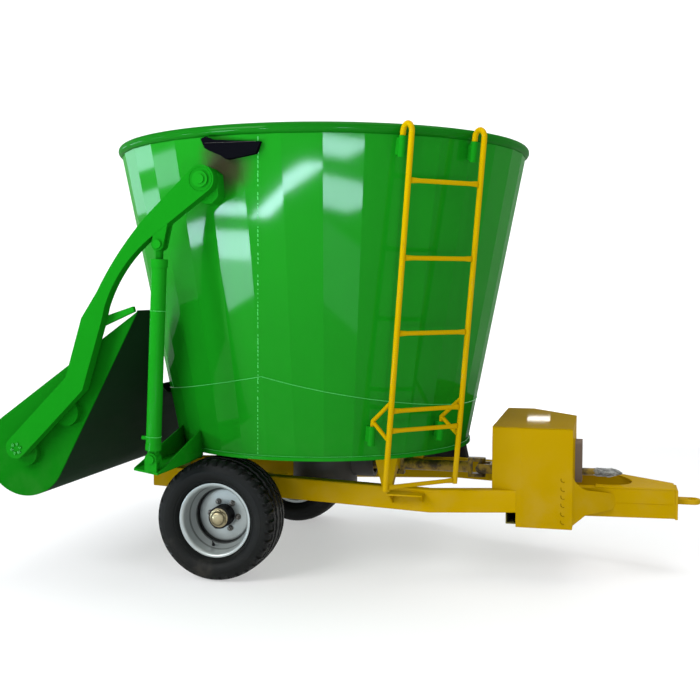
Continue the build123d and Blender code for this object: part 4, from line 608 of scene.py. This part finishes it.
# Finishes of the solids that differ from their slot's
NODE_FINISH = {
    # The tub, hopper, spacer, lift rod, lift arm, rim tube, box and lid finishes are darker copies of their
    # paint, painted shade; the hopper sheet's dark green is painted shade too
    "arm_fasteners": "green_paint", "pivot_pins": "green_paint", "lift_arms": "arm_green",
    "tub_front_half": "tub_green", "tub_rear_half": "tub_green", "rim_tube": "rim_green",
    "lift_rod_left": "hopper_green", "lift_rod_right": "hopper_green", "hopper_sides": "hopper_green",
    "arm_spacers": "hopper_green", "hopper_sheet": "scuffed_green", "rim_brackets": "flat_black",
    "drive_box": "box_yellow", "drive_box_lid": "lid_yellow", "drive_bearings": "primer_brown",
    "cross_beams": "olive_paint", "pinion_shaft": "worn_yellow", "cardan_crosses": "worn_yellow",
    "cardan_shaft": "worn_yellow", "input_shaft": "worn_yellow", "wheel_nuts_left": "zinc",
    "wheel_nuts_right": "zinc",
}


# Operators
class WAGON_OT_coats(bpy.types.Operator):
    """Give every solid of the frame its finish"""

    bl_idname = "wagon.coats"
    bl_label = "Coats"

    def execute(self, context):
        for name, slot in NODE_SLOT.items():
            node = frame["nodes"][name]
            node.data.materials.clear()
            node.data.materials.append(finish(NODE_FINISH.get(name, slot)))
        return {"FINISHED"}


# Cut, folded and rolled steel, with the width of its softened edges
EDGE_WIDTH = {
    "drive_box": 0.004, "drive_box_lid": 0.002, "drawbar_beams": 0.007, "drawbar_plates": 0.003,
    "side_beams": 0.007, "drawbar_gusset": 0.003, "hitch_tongue": 0.005, "step_bracket": 0.002,
    "tub_posts": 0.003, "axle_beam": 0.005, "axle_clamps": 0.003, "cross_beams": 0.006, "lift_arms": 0.003,
    "hopper_sides": 0.003, "arm_ties": 0.003, "arm_brackets": 0.004, "rim_brackets": 0.003,
    "lift_brackets": 0.003, "discharge_chute": 0.002, "door_frame": 0.003, "door_plate": 0.002,
}
EDGE_ANGLE = radians(30.0)
FLAT_ANGLE = radians(0.5)
# Folds that stay crisp, in degrees
PLAIN_FOLD = 20.0
SHALLOW_FOLD = {"drive_box": 4.0, "drive_box_lid": 4.0}


class WAGON_OT_soft_edges(bpy.types.Operator):
    """Soften the edges of the cut, folded and rolled steel pieces"""

    bl_idname = "wagon.soft_edges"
    bl_label = "Soft edges"

    def execute(self, context):
        for name, width in EDGE_WIDTH.items():
            node = frame["nodes"][name]
            bm = node_copy(node)
            bmesh.ops.dissolve_limit(bm, angle_limit=FLAT_ANGLE, verts=bm.verts, edges=bm.edges)
            sharp = [e for e in bm.edges if len(e.link_faces) == 2 and e.calc_face_angle() > EDGE_ANGLE]
            bmesh.ops.bevel(
                bm, geom=sharp, offset=width, offset_type="OFFSET", affect="EDGES", segments=2, profile=0.5,
                material=-1, clamp_overlap=True)
            bmesh.ops.recalc_face_normals(bm, faces=bm.faces)
            fold = SHALLOW_FOLD.get(name, PLAIN_FOLD)
            piece = place_piece(
                f"soft_{name}", bm, body_of(node)[0], NODE_SLOT[name], NODE_FINISH.get(name), fold)
            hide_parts(name)
        return {"FINISHED"}


RUNG_FLAT_LENGTH = 0.05
RUNG_CUTS = (0.012, 0.024, 0.036, 0.05)     # from a rung's end
RUNG_END_ZONE = 0.02
RUNG_WIDER = 0.32
RUNG_THINNER = 0.4


class WAGON_OT_rungs(bpy.types.Operator):
    """Flatten the ends of the ladder's rungs"""

    bl_idname = "wagon.rungs"
    bl_label = "Rungs"

    def execute(self, context):
        node = frame["nodes"]["ladder_rungs"]
        bm = node_copy(node)
        for rung in self.rungs(bm):
            self.flatten(bm, rung)
        bmesh.ops.recalc_face_normals(bm, faces=bm.faces)
        piece = place_piece("flattened_rungs", bm, body_of(node)[0], "yellow_paint", sharp=40.0)
        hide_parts("ladder_rungs")
        return {"FINISHED"}

    def rungs(self, bm):
        """Faces of each rung."""
        left = set(bm.faces)
        made = []
        while left:
            queue = [left.pop()]
            faces = list(queue)
            while queue:
                near = {f for e in queue.pop().edges for f in e.link_faces} & left
                left -= near
                queue += near
                faces += near
            made.append(faces)
        return made

    def flatten(self, bm, faces):
        """Cuts a rung near its ends, and makes it wider and thinner towards them."""
        spots = [v.co.copy() for v in {v for f in faces for v in f.verts}]
        ends = []
        for x in (min(p.x for p in spots), max(p.x for p in spots)):
            near = [p for p in spots if abs(p.x - x) < RUNG_END_ZONE]
            ends.append(sum(near, Vector()) / len(near))
        way = (ends[1] - ends[0]).normalized()
        lengths = [(p - ends[0]).dot(way) for p in spots]
        low, high = min(lengths), max(lengths)
        up = (Vector((0, 0, 1)) - way * way.z).normalized()
        depth = way.cross(up)
        parts = faces
        for cut in RUNG_CUTS:
            for along in (low + cut, high - cut):
                edges = {e for f in parts for e in f.edges}
                verts = {v for f in parts for v in f.verts}
                made = bmesh.ops.bisect_plane(
                    bm, geom=[*verts, *edges, *parts], dist=MERGE, plane_co=ends[0] + way * along,
                    plane_no=way)
                parts = only(bmesh.types.BMFace, made["geom"])
        for vert in {v for f in parts for v in f.verts}:
            along = (vert.co - ends[0]).dot(way)
            share = max(0.0, 1 - min(along - low, high - along) / RUNG_FLAT_LENGTH)
            off = vert.co - ends[0] - way * along
            wider = up * off.dot(up) * RUNG_WIDER * share
            thinner = depth * off.dot(depth) * RUNG_THINNER * share
            vert.co += wider - thinner


# Half of the tyre's outside, from the bead to the middle of the tread: (radius, distance from the middle)
TYRE_SIDE = (
    (0.1965, 0.086), (0.1945, 0.099), (0.196, 0.1083), (0.2165, 0.1086), (0.2195, 0.1105),
    (0.2225, 0.119), (0.227, 0.129), (0.232, 0.137), (0.2345, 0.1395), (0.237, 0.1388),
    (0.24, 0.143), (0.25, 0.151), (0.262, 0.1565), (0.275, 0.1594), (0.285, 0.1598),
    (0.2885, 0.16), (0.291, 0.1586), (0.302, 0.156), (0.313, 0.1515),
)
TYRE_SHOULDER = ((0.324, 0.145), (0.333, 0.137), (0.3395, 0.127), (0.343, 0.115))
TYRE_TREAD = ((0.347, 0.088), (0.3478, 0.077), (0.3494, 0.037), (0.3498, 0.025), (0.35, 0.0))
TYRE_INSIDE = ((0.313, 0.0), (0.308, 0.09), (0.29, 0.124), (0.245, 0.116), (0.21, 0.086))
SWINGS = (0, 1, 0, -1)      # of the groove lines, over one pitch of the tread
SEGMENTS_PER_PITCH = len(SWINGS)
TREAD_MARGIN = 0.0008
LINE_MARGIN = 0.001
NOTCH_SHARE = 0.8           # of the grooves' depth


class WAGON_OT_tyres(bpy.types.Operator):
    """Mould both tyres with zigzag grooves and notched shoulders"""

    bl_idname = "wagon.tyres"
    bl_label = "Tyres"

    def execute(self, context):
        wheel = context.scene.wagon_wheel
        half = TYRE_SIDE + TYRE_SHOULDER + TYRE_TREAD
        outline = list(half) + [(r, -y) for r, y in reversed(half[:-1])]
        inner = [(r, -y) for r, y in reversed(TYRE_INSIDE[1:])] + list(TYRE_INSIDE)
        steps = wheel.pitches * SEGMENTS_PER_PITCH
        for side in AXLE:
            bm = bmesh.new()
            wheel_spin(bm, side, outline + inner, steps)
            tidy_shell(bm)
            self.tread(bm, AXLE[side], steps, wheel)
            bmesh.ops.recalc_face_normals(bm, faces=bm.faces)
            piece = place_piece(f"moulded_tyre_{side}", bm, f"wheel_{side}", "tyre_rubber", sharp=32.0)
            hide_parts(f"tyre_{side}")
        return {"FINISHED"}

    def tread(self, bm, hub, steps, wheel):
        """Swings the groove lines, then sinks the grooves and the shoulder notches."""
        def turn(point):
            return atan2(point.z - hub.z, point.x - hub.x) / (2 * pi) * steps

        def radius(point):
            return hypot(point.x - hub.x, point.z - hub.z)

        tread_low = TYRE_TREAD[0][0] - TREAD_MARGIN
        groove_lines = [(a[1], b[1]) for a, b in (TYRE_TREAD[0:2], TYRE_TREAD[2:4])]
        notch_low = TYRE_SHOULDER[0][0] - LINE_MARGIN
        grooves, notches = [], []
        for face in bm.faces:
            middle = face.calc_center_median()
            across = abs(middle.y - hub.y)
            if radius(middle) > tread_low and any(low < across < high for high, low in groove_lines):
                grooves.append(face)
            elif radius(middle) > notch_low and across > TYRE_TREAD[0][1]:
                if int(turn(middle) + steps) % SEGMENTS_PER_PITCH == 0:
                    notches.append(face)
        first_line = TYRE_TREAD[3][1] - LINE_MARGIN
        last_line = TYRE_TREAD[0][1] + LINE_MARGIN
        for vert in bm.verts:
            if radius(vert.co) > tread_low and first_line < abs(vert.co.y - hub.y) < last_line:
                vert.co.y += SWINGS[round(turn(vert.co) + steps) % SEGMENTS_PER_PITCH] * wheel.zigzag
        for faces, depth in ((grooves, wheel.groove), (notches, wheel.groove * NOTCH_SHARE)):
            made = bmesh.ops.extrude_face_region(bm, geom=faces)["geom"]
            for vert in only(bmesh.types.BMVert, made):
                inward = Vector((hub.x - vert.co.x, 0, hub.z - vert.co.z)).normalized()
                vert.co += inward * depth


# Rim section, from the outer lip through the dish to the inner lip and back outside
RIM_OUTLINE = (
    (0.214, 0.1105), (0.2148, 0.113), (0.2138, 0.1152), (0.21, 0.116), (0.204, 0.115),
    (0.1975, 0.111), (0.1925, 0.104), (0.1895, 0.095), (0.188, 0.078), (0.1872, 0.05),
    (0.1868, 0.038), (0.1838, 0.035), (0.1838, 0.031), (0.1852, 0.027), (0.178, 0.014),
    (0.169, -0.001), (0.164, -0.0095), (0.1598, -0.013), (0.1598, -0.018), (0.1622, -0.022),
    (0.162, -0.072), (0.166, -0.08), (0.182, -0.088), (0.1862, -0.096), (0.188, -0.108),
    (0.196, -0.1145), (0.21, -0.1158), (0.2146, -0.1135), (0.214, -0.1095), (0.202, -0.1086),
    (0.193, -0.104), (0.1921, -0.092), (0.188, -0.083), (0.1705, -0.0765), (0.168, -0.068),
    (0.168, -0.018), (0.17, -0.009), (0.189, 0.022), (0.1919, 0.032), (0.1921, 0.096),
    (0.1945, 0.105), (0.2, 0.1086),
)
RIM_STEPS = 112
DISC_FACE = -0.0444
DISC_OUTLINE = (
    (0.06, -0.045), (0.062, DISC_FACE), (0.143, DISC_FACE), (0.15, -0.0462), (0.157, -0.052),
    (0.1628, -0.054), (0.165, -0.058), (0.165, -0.069), (0.144, -0.057), (0.06, -0.057),
)
DISC_STEPS = 96
VALVE_OUTLINE = (
    (0.0, 0.046), (0.0032, 0.046), (0.004, 0.044), (0.004, 0.034), (0.003, 0.033), (0.003, 0.026),
    (0.0062, 0.023), (0.0072, 0.012), (0.0095, 0.006), (0.0098, 0.0), (0.0, 0.0),
)
VALVE_STEPS = 14
VALVE_ANGLE = 254.0
VALVE_FOOT_R = 0.1765
VALVE_FOOT_OUT = 0.011
VALVE_LEAN = (0.75, 0.8)    # inwards and outwards parts of its direction


class WAGON_OT_rims(bpy.types.Operator):
    """Roll both rims with their discs and valves"""

    bl_idname = "wagon.rims"
    bl_label = "Rims"

    def execute(self, context):
        for side in AXLE:
            bm = bmesh.new()
            wheel_spin(bm, side, RIM_OUTLINE, RIM_STEPS)
            wheel_spin(bm, side, DISC_OUTLINE, DISC_STEPS)
            tidy_shell(bm)
            piece = place_piece(f"rolled_rim_{side}", bm, f"wheel_{side}", "wheel_silver", sharp=48.0)
            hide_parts(f"wheel_rim_{side}")
            self.valve(side)
        return {"FINISHED"}

    def valve(self, side):
        hub, out = AXLE[side], SIDE_SIGN[side]
        a = radians(VALVE_ANGLE)
        inwards, outwards = VALVE_LEAN
        way = (-cos(a) * inwards, out * outwards, -sin(a) * inwards)
        foot = (hub.x + VALVE_FOOT_R * cos(a), hub.y + out * VALVE_FOOT_OUT, hub.z + VALVE_FOOT_R * sin(a))
        bm = turned_shape(VALVE_OUTLINE, VALVE_STEPS)
        bm.transform(Matrix.Translation(foot) @ frame_along(way))
        place_piece(f"tyre_valve_{side}", bm, f"wheel_{side}", "tyre_rubber", sharp=40.0)


NUT_COUNT = 6
NUT_CIRCLE = 0.085
NUT_TURN = 55.0
NUT_OWN_TURN = 17       # from each nut to the next
HUB_END = 0.045
# Prisms of a nut, its washer first and its stud last, and of a cap: start, radius, sides, height, chamfer
NUT_PRISMS = (
    (0.0, 0.0182, 20, 0.003, 0.001), (0.003, 0.0156, 6, 0.0145, 0.0022),
    (0.0172, 0.0088, 16, 0.009, 0.0016),
)
CAP_PRISMS = ((0.0, 0.0545, 48, 0.005, 0.0015), (0.0045, 0.0495, 6, 0.0145, 0.0028))
CAP_DOME = (
    (0.0415, 0.0175), (0.0412, 0.024), (0.0385, 0.029), (0.033, 0.033), (0.025, 0.0352),
    (0.012, 0.0362), (0.0, 0.0364),
)
DOME_STEPS = 40


class WAGON_OT_wheel_fittings(bpy.types.Operator):
    """Forge the wheel nuts and the hexagonal hub caps"""

    bl_idname = "wagon.wheel_fittings"
    bl_label = "Wheel nuts and caps"

    def execute(self, context):
        for side in AXLE:
            hub, out = AXLE[side], SIDE_SIGN[side]
            outward = frame_along((0, out, 0))
            bm = bmesh.new()
            for i in range(NUT_COUNT):
                a = radians(NUT_TURN + 360 / NUT_COUNT * i)
                spot = (hub.x + NUT_CIRCLE * cos(a), hub.y + out * DISC_FACE, hub.z + NUT_CIRCLE * sin(a))
                own_turn = Matrix.Rotation(radians(NUT_OWN_TURN * i), 4, "Z")
                self.stack(bm, Matrix.Translation(spot) @ outward @ own_turn, NUT_PRISMS)
            piece = place_piece(f"forged_nuts_{side}", bm, f"wheel_{side}", "bare_steel", "zinc")
            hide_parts(f"wheel_nuts_{side}")
            bm = self.cap(Matrix.Translation((hub.x, hub.y + out * HUB_END, hub.z)) @ outward)
            piece = place_piece(f"plated_cap_{side}", bm, f"wheel_{side}", "brass_cap", sharp=30.0)
            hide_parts(f"hub_cap_{side}")
        return {"FINISHED"}

    def stack(self, bm, place, prisms):
        """Prisms on one axis."""
        for start, radius, sides, height, chamfer in prisms:
            self.prism(bm, place @ Matrix.Translation((0, 0, start)), radius, sides, height, chamfer)
        bmesh.ops.recalc_face_normals(bm, faces=bm.faces)

    def prism(self, bm, place, radius, sides, height, chamfer):
        """Solid prism with its top edges chamfered."""
        base = bmesh.ops.create_circle(bm, cap_ends=True, radius=radius, segments=sides, matrix=place)
        face = base["verts"][0].link_faces[0]
        made = bmesh.ops.extrude_face_region(bm, geom=[face], use_keep_orig=True)["geom"]
        rise = place.to_3x3() @ Vector((0, 0, height))
        bmesh.ops.translate(bm, vec=rise, verts=only(bmesh.types.BMVert, made))
        top = only(bmesh.types.BMFace, made)[0]
        bmesh.ops.bevel(
            bm, geom=list(top.edges), offset=chamfer, offset_type="OFFSET", affect="EDGES", segments=2,
            profile=0.5, material=-1)

    def cap(self, place):
        bm = turned_shape(CAP_DOME, DOME_STEPS)
        bm.transform(place)
        self.stack(bm, place, CAP_PRISMS)
        return bm


# Weld seams of the tub: height of the course seam at the upright seams, and its sag on each side of them
COURSE_SEAM_Z = 1.187
COURSE_SAG = {-90.0: 0.147, 90.0: 0.200}
COURSE_HALF = FACETS // 2       # half facets from a sheet's middle to its end
COURSE_PROUD = 0.0004
# Upright seam: azimuths and heights, and the drops that its weld breaks up into
UPRIGHT_SEAM = (
    (261.0, 0.742), (262.3, 0.940), (263.9, 1.190), (265.0, 1.385), (265.5, 1.499), (267.0, 1.820),
    (268.2, 2.131), (269.3, 2.408), (269.4, 2.460),
)
DROP_PITCH = 0.024
DROP_MEAN = 0.55
DROP_SPREAD = 0.7
DROP_LEAST = 0.25
DROP_MOST = 0.95
DROP_GRAIN = 31.0
PATCH_SEAM = ((215.6, 1.262), (215.2, 1.165), (215.8, 1.066))
SEAM_PROUD = 0.0005
SEAM_BEAD = 0.75                # of a full bead
FLOOR_EDGE_Z = TUB_BOTTOM[1] + 0.002
FLOOR_EDGE_PROUD = 0.001
FLOOR_EDGE_BEAD = 0.8


class WAGON_OT_tub_welds(bpy.types.Operator):
    """Lay the weld beads of the tub: upright seams, course seam, a patch's edge and the floor's edge"""

    bl_idname = "wagon.tub_welds"
    bl_label = "Tub welds"

    def execute(self, context):
        looks = ("root", "green_paint", "weld_green")
        drops = []
        for turn in (0, 180):
            for azimuth, z, length in self.drops():
                heights = (z, z + length / 2, z + length)
                drops.append([tub_point(azimuth + turn, height, SEAM_PROUD) for height in heights])
        lay_beads("upright_seam_welds", {SEAM_BEAD: drops}, *looks)
        half_step = FACET_STEP / 2
        courses = []
        for turn, sag in COURSE_SAG.items():
            line = []
            for i in range(-COURSE_HALF, COURSE_HALF + 1):
                height = COURSE_SEAM_Z - sag * (1 - (i / COURSE_HALF) ** 2)
                line.append(tub_point(SEAM_AZIMUTH + turn + i * half_step, height, COURSE_PROUD))
            courses.append(line)
        patch = [tub_point(azimuth, z, SEAM_PROUD) for azimuth, z in PATCH_SEAM]
        lay_beads("course_seam_welds", {1.0: courses, SEAM_BEAD: [patch]}, *looks)
        azimuths = [SEAM_AZIMUTH + i * half_step for i in range(2 * FACETS + 1)]
        edge = [tub_point(azimuth, FLOOR_EDGE_Z, FLOOR_EDGE_PROUD) for azimuth in azimuths]
        lay_beads("floor_edge_weld", {FLOOR_EDGE_BEAD: [edge]}, *looks)
        return {"FINISHED"}

    def drops(self):
        """Azimuth, height and length of the drops of the upright seam."""
        made = []
        for (start, low), (end, high) in zip(UPRIGHT_SEAM, UPRIGHT_SEAM[1:]):
            count = ceil((high - low) / DROP_PITCH)
            for i in range(count):
                z = low + (high - low) * i / count
                share = DROP_MEAN + DROP_SPREAD * noise.noise(Vector((z * DROP_GRAIN, 3.7, 1.1)))
                if share > DROP_LEAST:
                    made.append((start + (end - start) * i / count, z, DROP_PITCH * min(share, DROP_MOST)))
        return made


# Small welds: places in metres, in the row frame, and half widths as shares of a full bead
STITCH_X = 1.198
STITCH_Z = (0.597, 0.546, 0.501, 0.455, 0.404, 0.359)
STITCH_R = 0.014
STITCH_ARC = (8, 150.0, 150.0)      # points, start and span
STITCH_PROUD = 0.0005
STITCH_BEAD = 0.9
STITCH_RIPPLE = 0.6
DRAWBAR_SEAM = ((1.470, 0.2475, 0.4325), (1.815, 0.1035, 0.4075))
FINE_BEAD = 0.5
FOLD_MARGIN = 0.02
FOLD_BELOW_TOP = 0.034
FOLD_SINK = 0.0014
BARREL_WAY = Vector((-0.04656, 0.0, -0.99892))
BARREL_RINGS = (0.350, 1.020)       # distances below the rod's eye
BARREL_RING_R = 0.0404
BARREL_BEAD = 0.7
SPACER_SPOTS = ((-1.704, 0.760), (-1.450, 0.992))
SPACER_RING_R = 0.078
SPACER_BEAD = 1.3
PIVOT = JOINT_PLACE["hopper_lift"]
PIVOT_RING_R = 0.062
PIVOT_BEAD = 0.8


class WAGON_OT_small_welds(bpy.types.Operator):
    """Lay the small beads of the drive box, drawbar, rim brackets, lift barrels and lift arms"""

    bl_idname = "wagon.small_welds"
    bl_label = "Small welds"

    def execute(self, context):
        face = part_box("drive_box")[0].y - STITCH_PROUD
        stitches = [ring_points((STITCH_X, face, z), (0, -1, 0), STITCH_R, *STITCH_ARC) for z in STITCH_Z]
        lay_beads(
            "box_stitches", {STITCH_BEAD: stitches}, "root", "yellow_paint", "weld_yellow", STITCH_RIPPLE)
        seams = [[(x, sign * y, z) for x, y, z in DRAWBAR_SEAM] for sign in SIDE_SIGN.values()]
        lay_beads("drawbar_seams", {FINE_BEAD: seams}, "root", "yellow_paint")
        low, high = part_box("rim_brackets")
        ends = (low.x + FOLD_MARGIN, high.x - FOLD_MARGIN)
        faces = (low.y + FOLD_SINK, high.y - FOLD_SINK)
        folds = [[(x, face, high.z - FOLD_BELOW_TOP) for x in ends] for face in faces]
        lay_beads("bracket_folds", {FINE_BEAD: folds}, "root", "dark_paint", "zinc")
        for side, sign in SIDE_SIGN.items():
            self.rings(side, sign)
        return {"FINISHED"}

    def rings(self, side, sign):
        """Round beads on one side's lift barrel, hopper and lift arm."""
        lug = JOINT_PLACE[f"lift_rod_{side}_swing"]
        spots = [lug + BARREL_WAY * down for down in BARREL_RINGS]
        rings = [ring_points(spot, BARREL_WAY, BARREL_RING_R, 36) for spot in spots]
        body = f"lift_barrel_{side}"
        lay_beads(f"barrel_rings_{side}", {BARREL_BEAD: rings}, body, "green_paint", "weld_green")
        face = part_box("hopper_sides")[1 if sign > 0 else 0].y
        rings = [ring_points((x, face, z), (0, sign, 0), SPACER_RING_R, 48) for x, z in SPACER_SPOTS]
        # The spacer fillets take the hopper's darker copy of the green: painted shade
        lay_beads(f"spacer_fillets_{side}", {SPACER_BEAD: rings}, "hopper", "green_paint", "hopper_green")
        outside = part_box("lift_arms")[1 if sign > 0 else 0].y
        ring = ring_points((PIVOT.x, outside, PIVOT.z), (0, sign, 0), PIVOT_RING_R, 60)
        lay_beads(f"pivot_ring_{side}", {PIVOT_BEAD: [ring]}, "hopper", "green_paint")


# Film wrap: its girth as shares of the solid's radius, and the share of its length where it tapers
WRAP_RINGS = 26
WRAP_SIDES = 28
WRAP_FIT = 0.96
WRAP_NECK = 0.82
WRAP_SWELL = 1.2
WRAP_TAPER_AT = 0.62
WRAP_TAPER_POWER = 1.7
WRAP_SHOULDER = 0.94
WRAP_TIP = 0.03
# Its creases: scale along and round the stub, and height
CREASE_FOLDS = (26, 2.2, 0.0055)
CREASE_TWIST = 9
CREASE_RIDGES = (60, 5.0, 0.006)
CREASE_FROM = 0.003         # from the stub's axis


class WAGON_OT_stub_wrap(bpy.types.Operator):
    """Wind the crumpled film round the power take-off stub"""

    bl_idname = "wagon.stub_wrap"
    bl_label = "Film wrap"

    def execute(self, context):
        low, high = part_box("pto_wrap")
        middle = Vector((0, 0, DRIVE_Z))
        length = high.x - low.x
        reach = (high.z - low.z) / 2
        outline = []
        for i in range(WRAP_RINGS + 1):
            share = i / WRAP_RINGS
            outline.append((low.x + length * share, 0, DRIVE_Z + reach * self.girth(share) * WRAP_FIT))
        bm = bmesh.new()
        spin_profile(bm, outline, middle, (1, 0, 0), WRAP_SIDES, False)
        for x in (outline[0][0], outline[-1][0]):
            rim = [e for e in bm.edges if e.is_boundary and abs(e.verts[0].co.x - x) < MERGE]
            bmesh.ops.contextual_create(bm, geom=rim)
        tidy_shell(bm)
        for vert in bm.verts:
            self.crease(vert)
        piece = place_piece("creased_film", bm, "driveline", "grey_film", sharp=50.0)
        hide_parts("pto_wrap")
        return {"FINISHED"}

    def girth(self, share):
        """Share of the full radius at a share of the length."""
        if share < WRAP_TAPER_AT:
            return min(1.0, WRAP_NECK + share * WRAP_SWELL)
        taper = (share - WRAP_TAPER_AT) / (1 - WRAP_TAPER_AT)
        return (1 - taper ** WRAP_TAPER_POWER) * WRAP_SHOULDER + WRAP_TIP

    def crease(self, vert):
        """Moves a vertex out or in by the film's folds and ridges."""
        x = vert.co.x
        out = Vector((0, vert.co.y, vert.co.z - DRIVE_Z))
        turn = atan2(out.z, out.y)
        fold = self.wrinkle(x, turn + x * CREASE_TWIST, *CREASE_FOLDS)
        ridge = abs(self.wrinkle(x, turn, *CREASE_RIDGES))
        if out.length > CREASE_FROM:
            vert.co += out.normalized() * (fold - ridge)

    def wrinkle(self, x, turn, along, around, height):
        return noise.noise(Vector((x * along, cos(turn) * around, sin(turn) * around))) * height


WHITE = (1.0, 1.0, 1.0)
SKY = (0.62, 0.82, 1.0)
# Place, target, width, height, power and colour of each lamp that lights the wagon
LAMPS = {
    "key_light": ((-4.6, -7.4, 5.2), (-0.4, 0, 1.2), 4.5, 3.4, 600, WHITE),
    "fill_light": ((6.5, -5.5, 4.4), (0.2, 0, 1.0), 4.0, 3.2, 55, WHITE),
    "top_light": ((0.2, 0.4, 7.4), (0, 0, 1.0), 6.0, 5.0, 320, WHITE),
    "wall_light": ((0.0, 5.0, 4.0), (0.0, 16.0, 4.0), 16.0, 5.0, 1300, WHITE),
    "edge_glint": ((-11.0, 2.2, 1.97), (0.0, 0.0, 1.97), 3.0, 0.36, 80, SKY),
    "edge_glint_low": ((-11.0, 2.2, 1.2), (0.0, 0.0, 1.2), 3.0, 0.55, 105, SKY),
    "left_glint": ((-9.9, 5.2, 2.3), (0.0, 0.0, 2.3), 1.6, 1.0, 48, SKY),
    "inner_glint": ((-11.2, -1.9, 1.15), (0.0, 0.0, 1.15), 2.0, 0.5, 65, SKY),
    "lid_glint": ((0.58, 6.9, 1.75), (1.05, 0.0, 0.9), 0.28, 0.05, 4, WHITE),
}
# Lamps on the floor that the tub's facets mirror: place, width, length, turn in degrees and power
GLINTS = {
    "big_glint": ((-4.5, -5.8), 1.8, 0.9, 0.0, 480),
    "big_fade": ((-4.3, -5.1), 1.8, 2.2, 0.0, 400),
    "bird_glint": ((-5.8, -7.05), 1.2, 0.5, 0.0, 220),
    "arc_glint": ((-2.6, -8.65), 0.24, 2.6, 0.0, 300),
    "far_arc_glint": ((0.2, -9.0), 0.36, 1.5, 27.0, 230),
    "streak_glint": ((4.0, -9.7), 1.0, 1.1, 50.0, 330),
    "lower_streak": ((3.05, -7.6), 1.3, 1.1, 62.0, 330),
    "low_glint": ((2.0, -5.2), 1.0, 3.6, 0.0, 40),
    "small_glint": ((-8.2, -4.7), 1.2, 0.9, 0.0, 250),
}
GLINT_Z = 0.05
FLOOR_RINGS = (0.001, 3.0, 7.0)
FLOOR_RADIUS = 17.0
FLOOR_STEPS = 72
BACKDROP_RADIUS = 5.0
BACKDROP_HEIGHT = 9.0
BACKDROP_STEPS = 12


class WAGON_OT_stage(bpy.types.Operator):
    """Set up the floor, the lights and the camera"""

    bl_idname = "wagon.stage"
    bl_label = "Stage"

    def execute(self, context):
        settings = context.scene.wagon_stage
        context.scene.view_settings.view_transform = "Standard"
        self.backdrop()
        for name, (place, target, width, height, power, colour) in LAMPS.items():
            turn = (Vector(target) - Vector(place)).to_track_quat("-Z", "Y").to_euler()
            self.light(name, place, turn, width, height, power, colour)
        for name, ((x, y), width, length, turn, power) in GLINTS.items():
            self.light(name, (x, y, GLINT_Z), (pi, 0, radians(turn)), width, length, power, SKY)
        world = bpy.data.worlds.new("studio_air")
        context.scene.world = world
        world.use_nodes = True
        air = world.node_tree.nodes["Background"]
        air.inputs["Color"].default_value = (0.97, 0.985, 1.0, 1.0)
        air.inputs["Strength"].default_value = 0.68
        camera = put_object("photo_camera", bpy.data.cameras.new("photo_camera"))
        camera.location = settings.eye
        camera.rotation_euler = settings.turn
        camera.data.lens = settings.lens
        camera.data.sensor_width = 36.0
        context.scene.camera = camera
        return {"FINISHED"}

    def backdrop(self):
        """Round floor whose edge rises into a backdrop on every side."""
        flat = FLOOR_RADIUS - BACKDROP_RADIUS
        outline = [(r, 0.0) for r in (*FLOOR_RINGS, flat)]
        for i in range(1, BACKDROP_STEPS + 1):
            a = radians(90 * i / BACKDROP_STEPS)
            outline.append((flat + BACKDROP_RADIUS * sin(a), BACKDROP_RADIUS * (1 - cos(a))))
        outline.append((FLOOR_RADIUS, BACKDROP_HEIGHT))
        bm = turned_shape(outline, FLOOR_STEPS)
        bmesh.ops.reverse_faces(bm, faces=bm.faces)
        floor = smooth_object("studio_floor", bm, "floor_white")

    def light(self, name, place, turn, width, height, power, colour):
        lamp = bpy.data.lights.new(name, "AREA")
        lamp.color = colour
        lamp.shape = "RECTANGLE"
        lamp.size = width
        lamp.size_y = height
        lamp.energy = power
        holder = put_object(name, lamp)
        holder.location = place
        holder.rotation_euler = turn


class WAGON_PT_panel(bpy.types.Panel):
    """Steps that build the wagon's looks"""

    bl_idname = "WAGON_PT_panel"
    bl_label = "Feed mixer wagon"
    bl_space_type = "VIEW_3D"
    bl_region_type = "UI"
    bl_category = "Wagon"

    def draw(self, context):
        for step in OPERATORS:
            self.layout.operator(step.bl_idname)


OPERATORS = (
    WAGON_OT_coats, WAGON_OT_soft_edges, WAGON_OT_rungs, WAGON_OT_tyres, WAGON_OT_rims,
    WAGON_OT_wheel_fittings, WAGON_OT_tub_welds, WAGON_OT_small_welds, WAGON_OT_stub_wrap, WAGON_OT_stage,
)
SETTINGS = {
    "wagon_paint": WagonPaint, "wagon_wheel": WagonWheel, "wagon_weld": WagonWeld,
    "wagon_stage": WagonStage,
}


def register():
    for group in (*SETTINGS.values(), *OPERATORS, WAGON_PT_panel):
        bpy.utils.register_class(group)
    for name, group in SETTINGS.items():
        setattr(bpy.types.Scene, name, bpy.props.PointerProperty(type=group))


def unregister():
    for name in SETTINGS:
        delattr(bpy.types.Scene, name)
    for group in reversed((*SETTINGS.values(), *OPERATORS, WAGON_PT_panel)):
        bpy.utils.unregister_class(group)


def main():
    register()
    for step in OPERATORS:
        family, name = step.bl_idname.split(".")
        getattr(getattr(bpy.ops, family), name)()


if __name__ == "__main__":
    main()
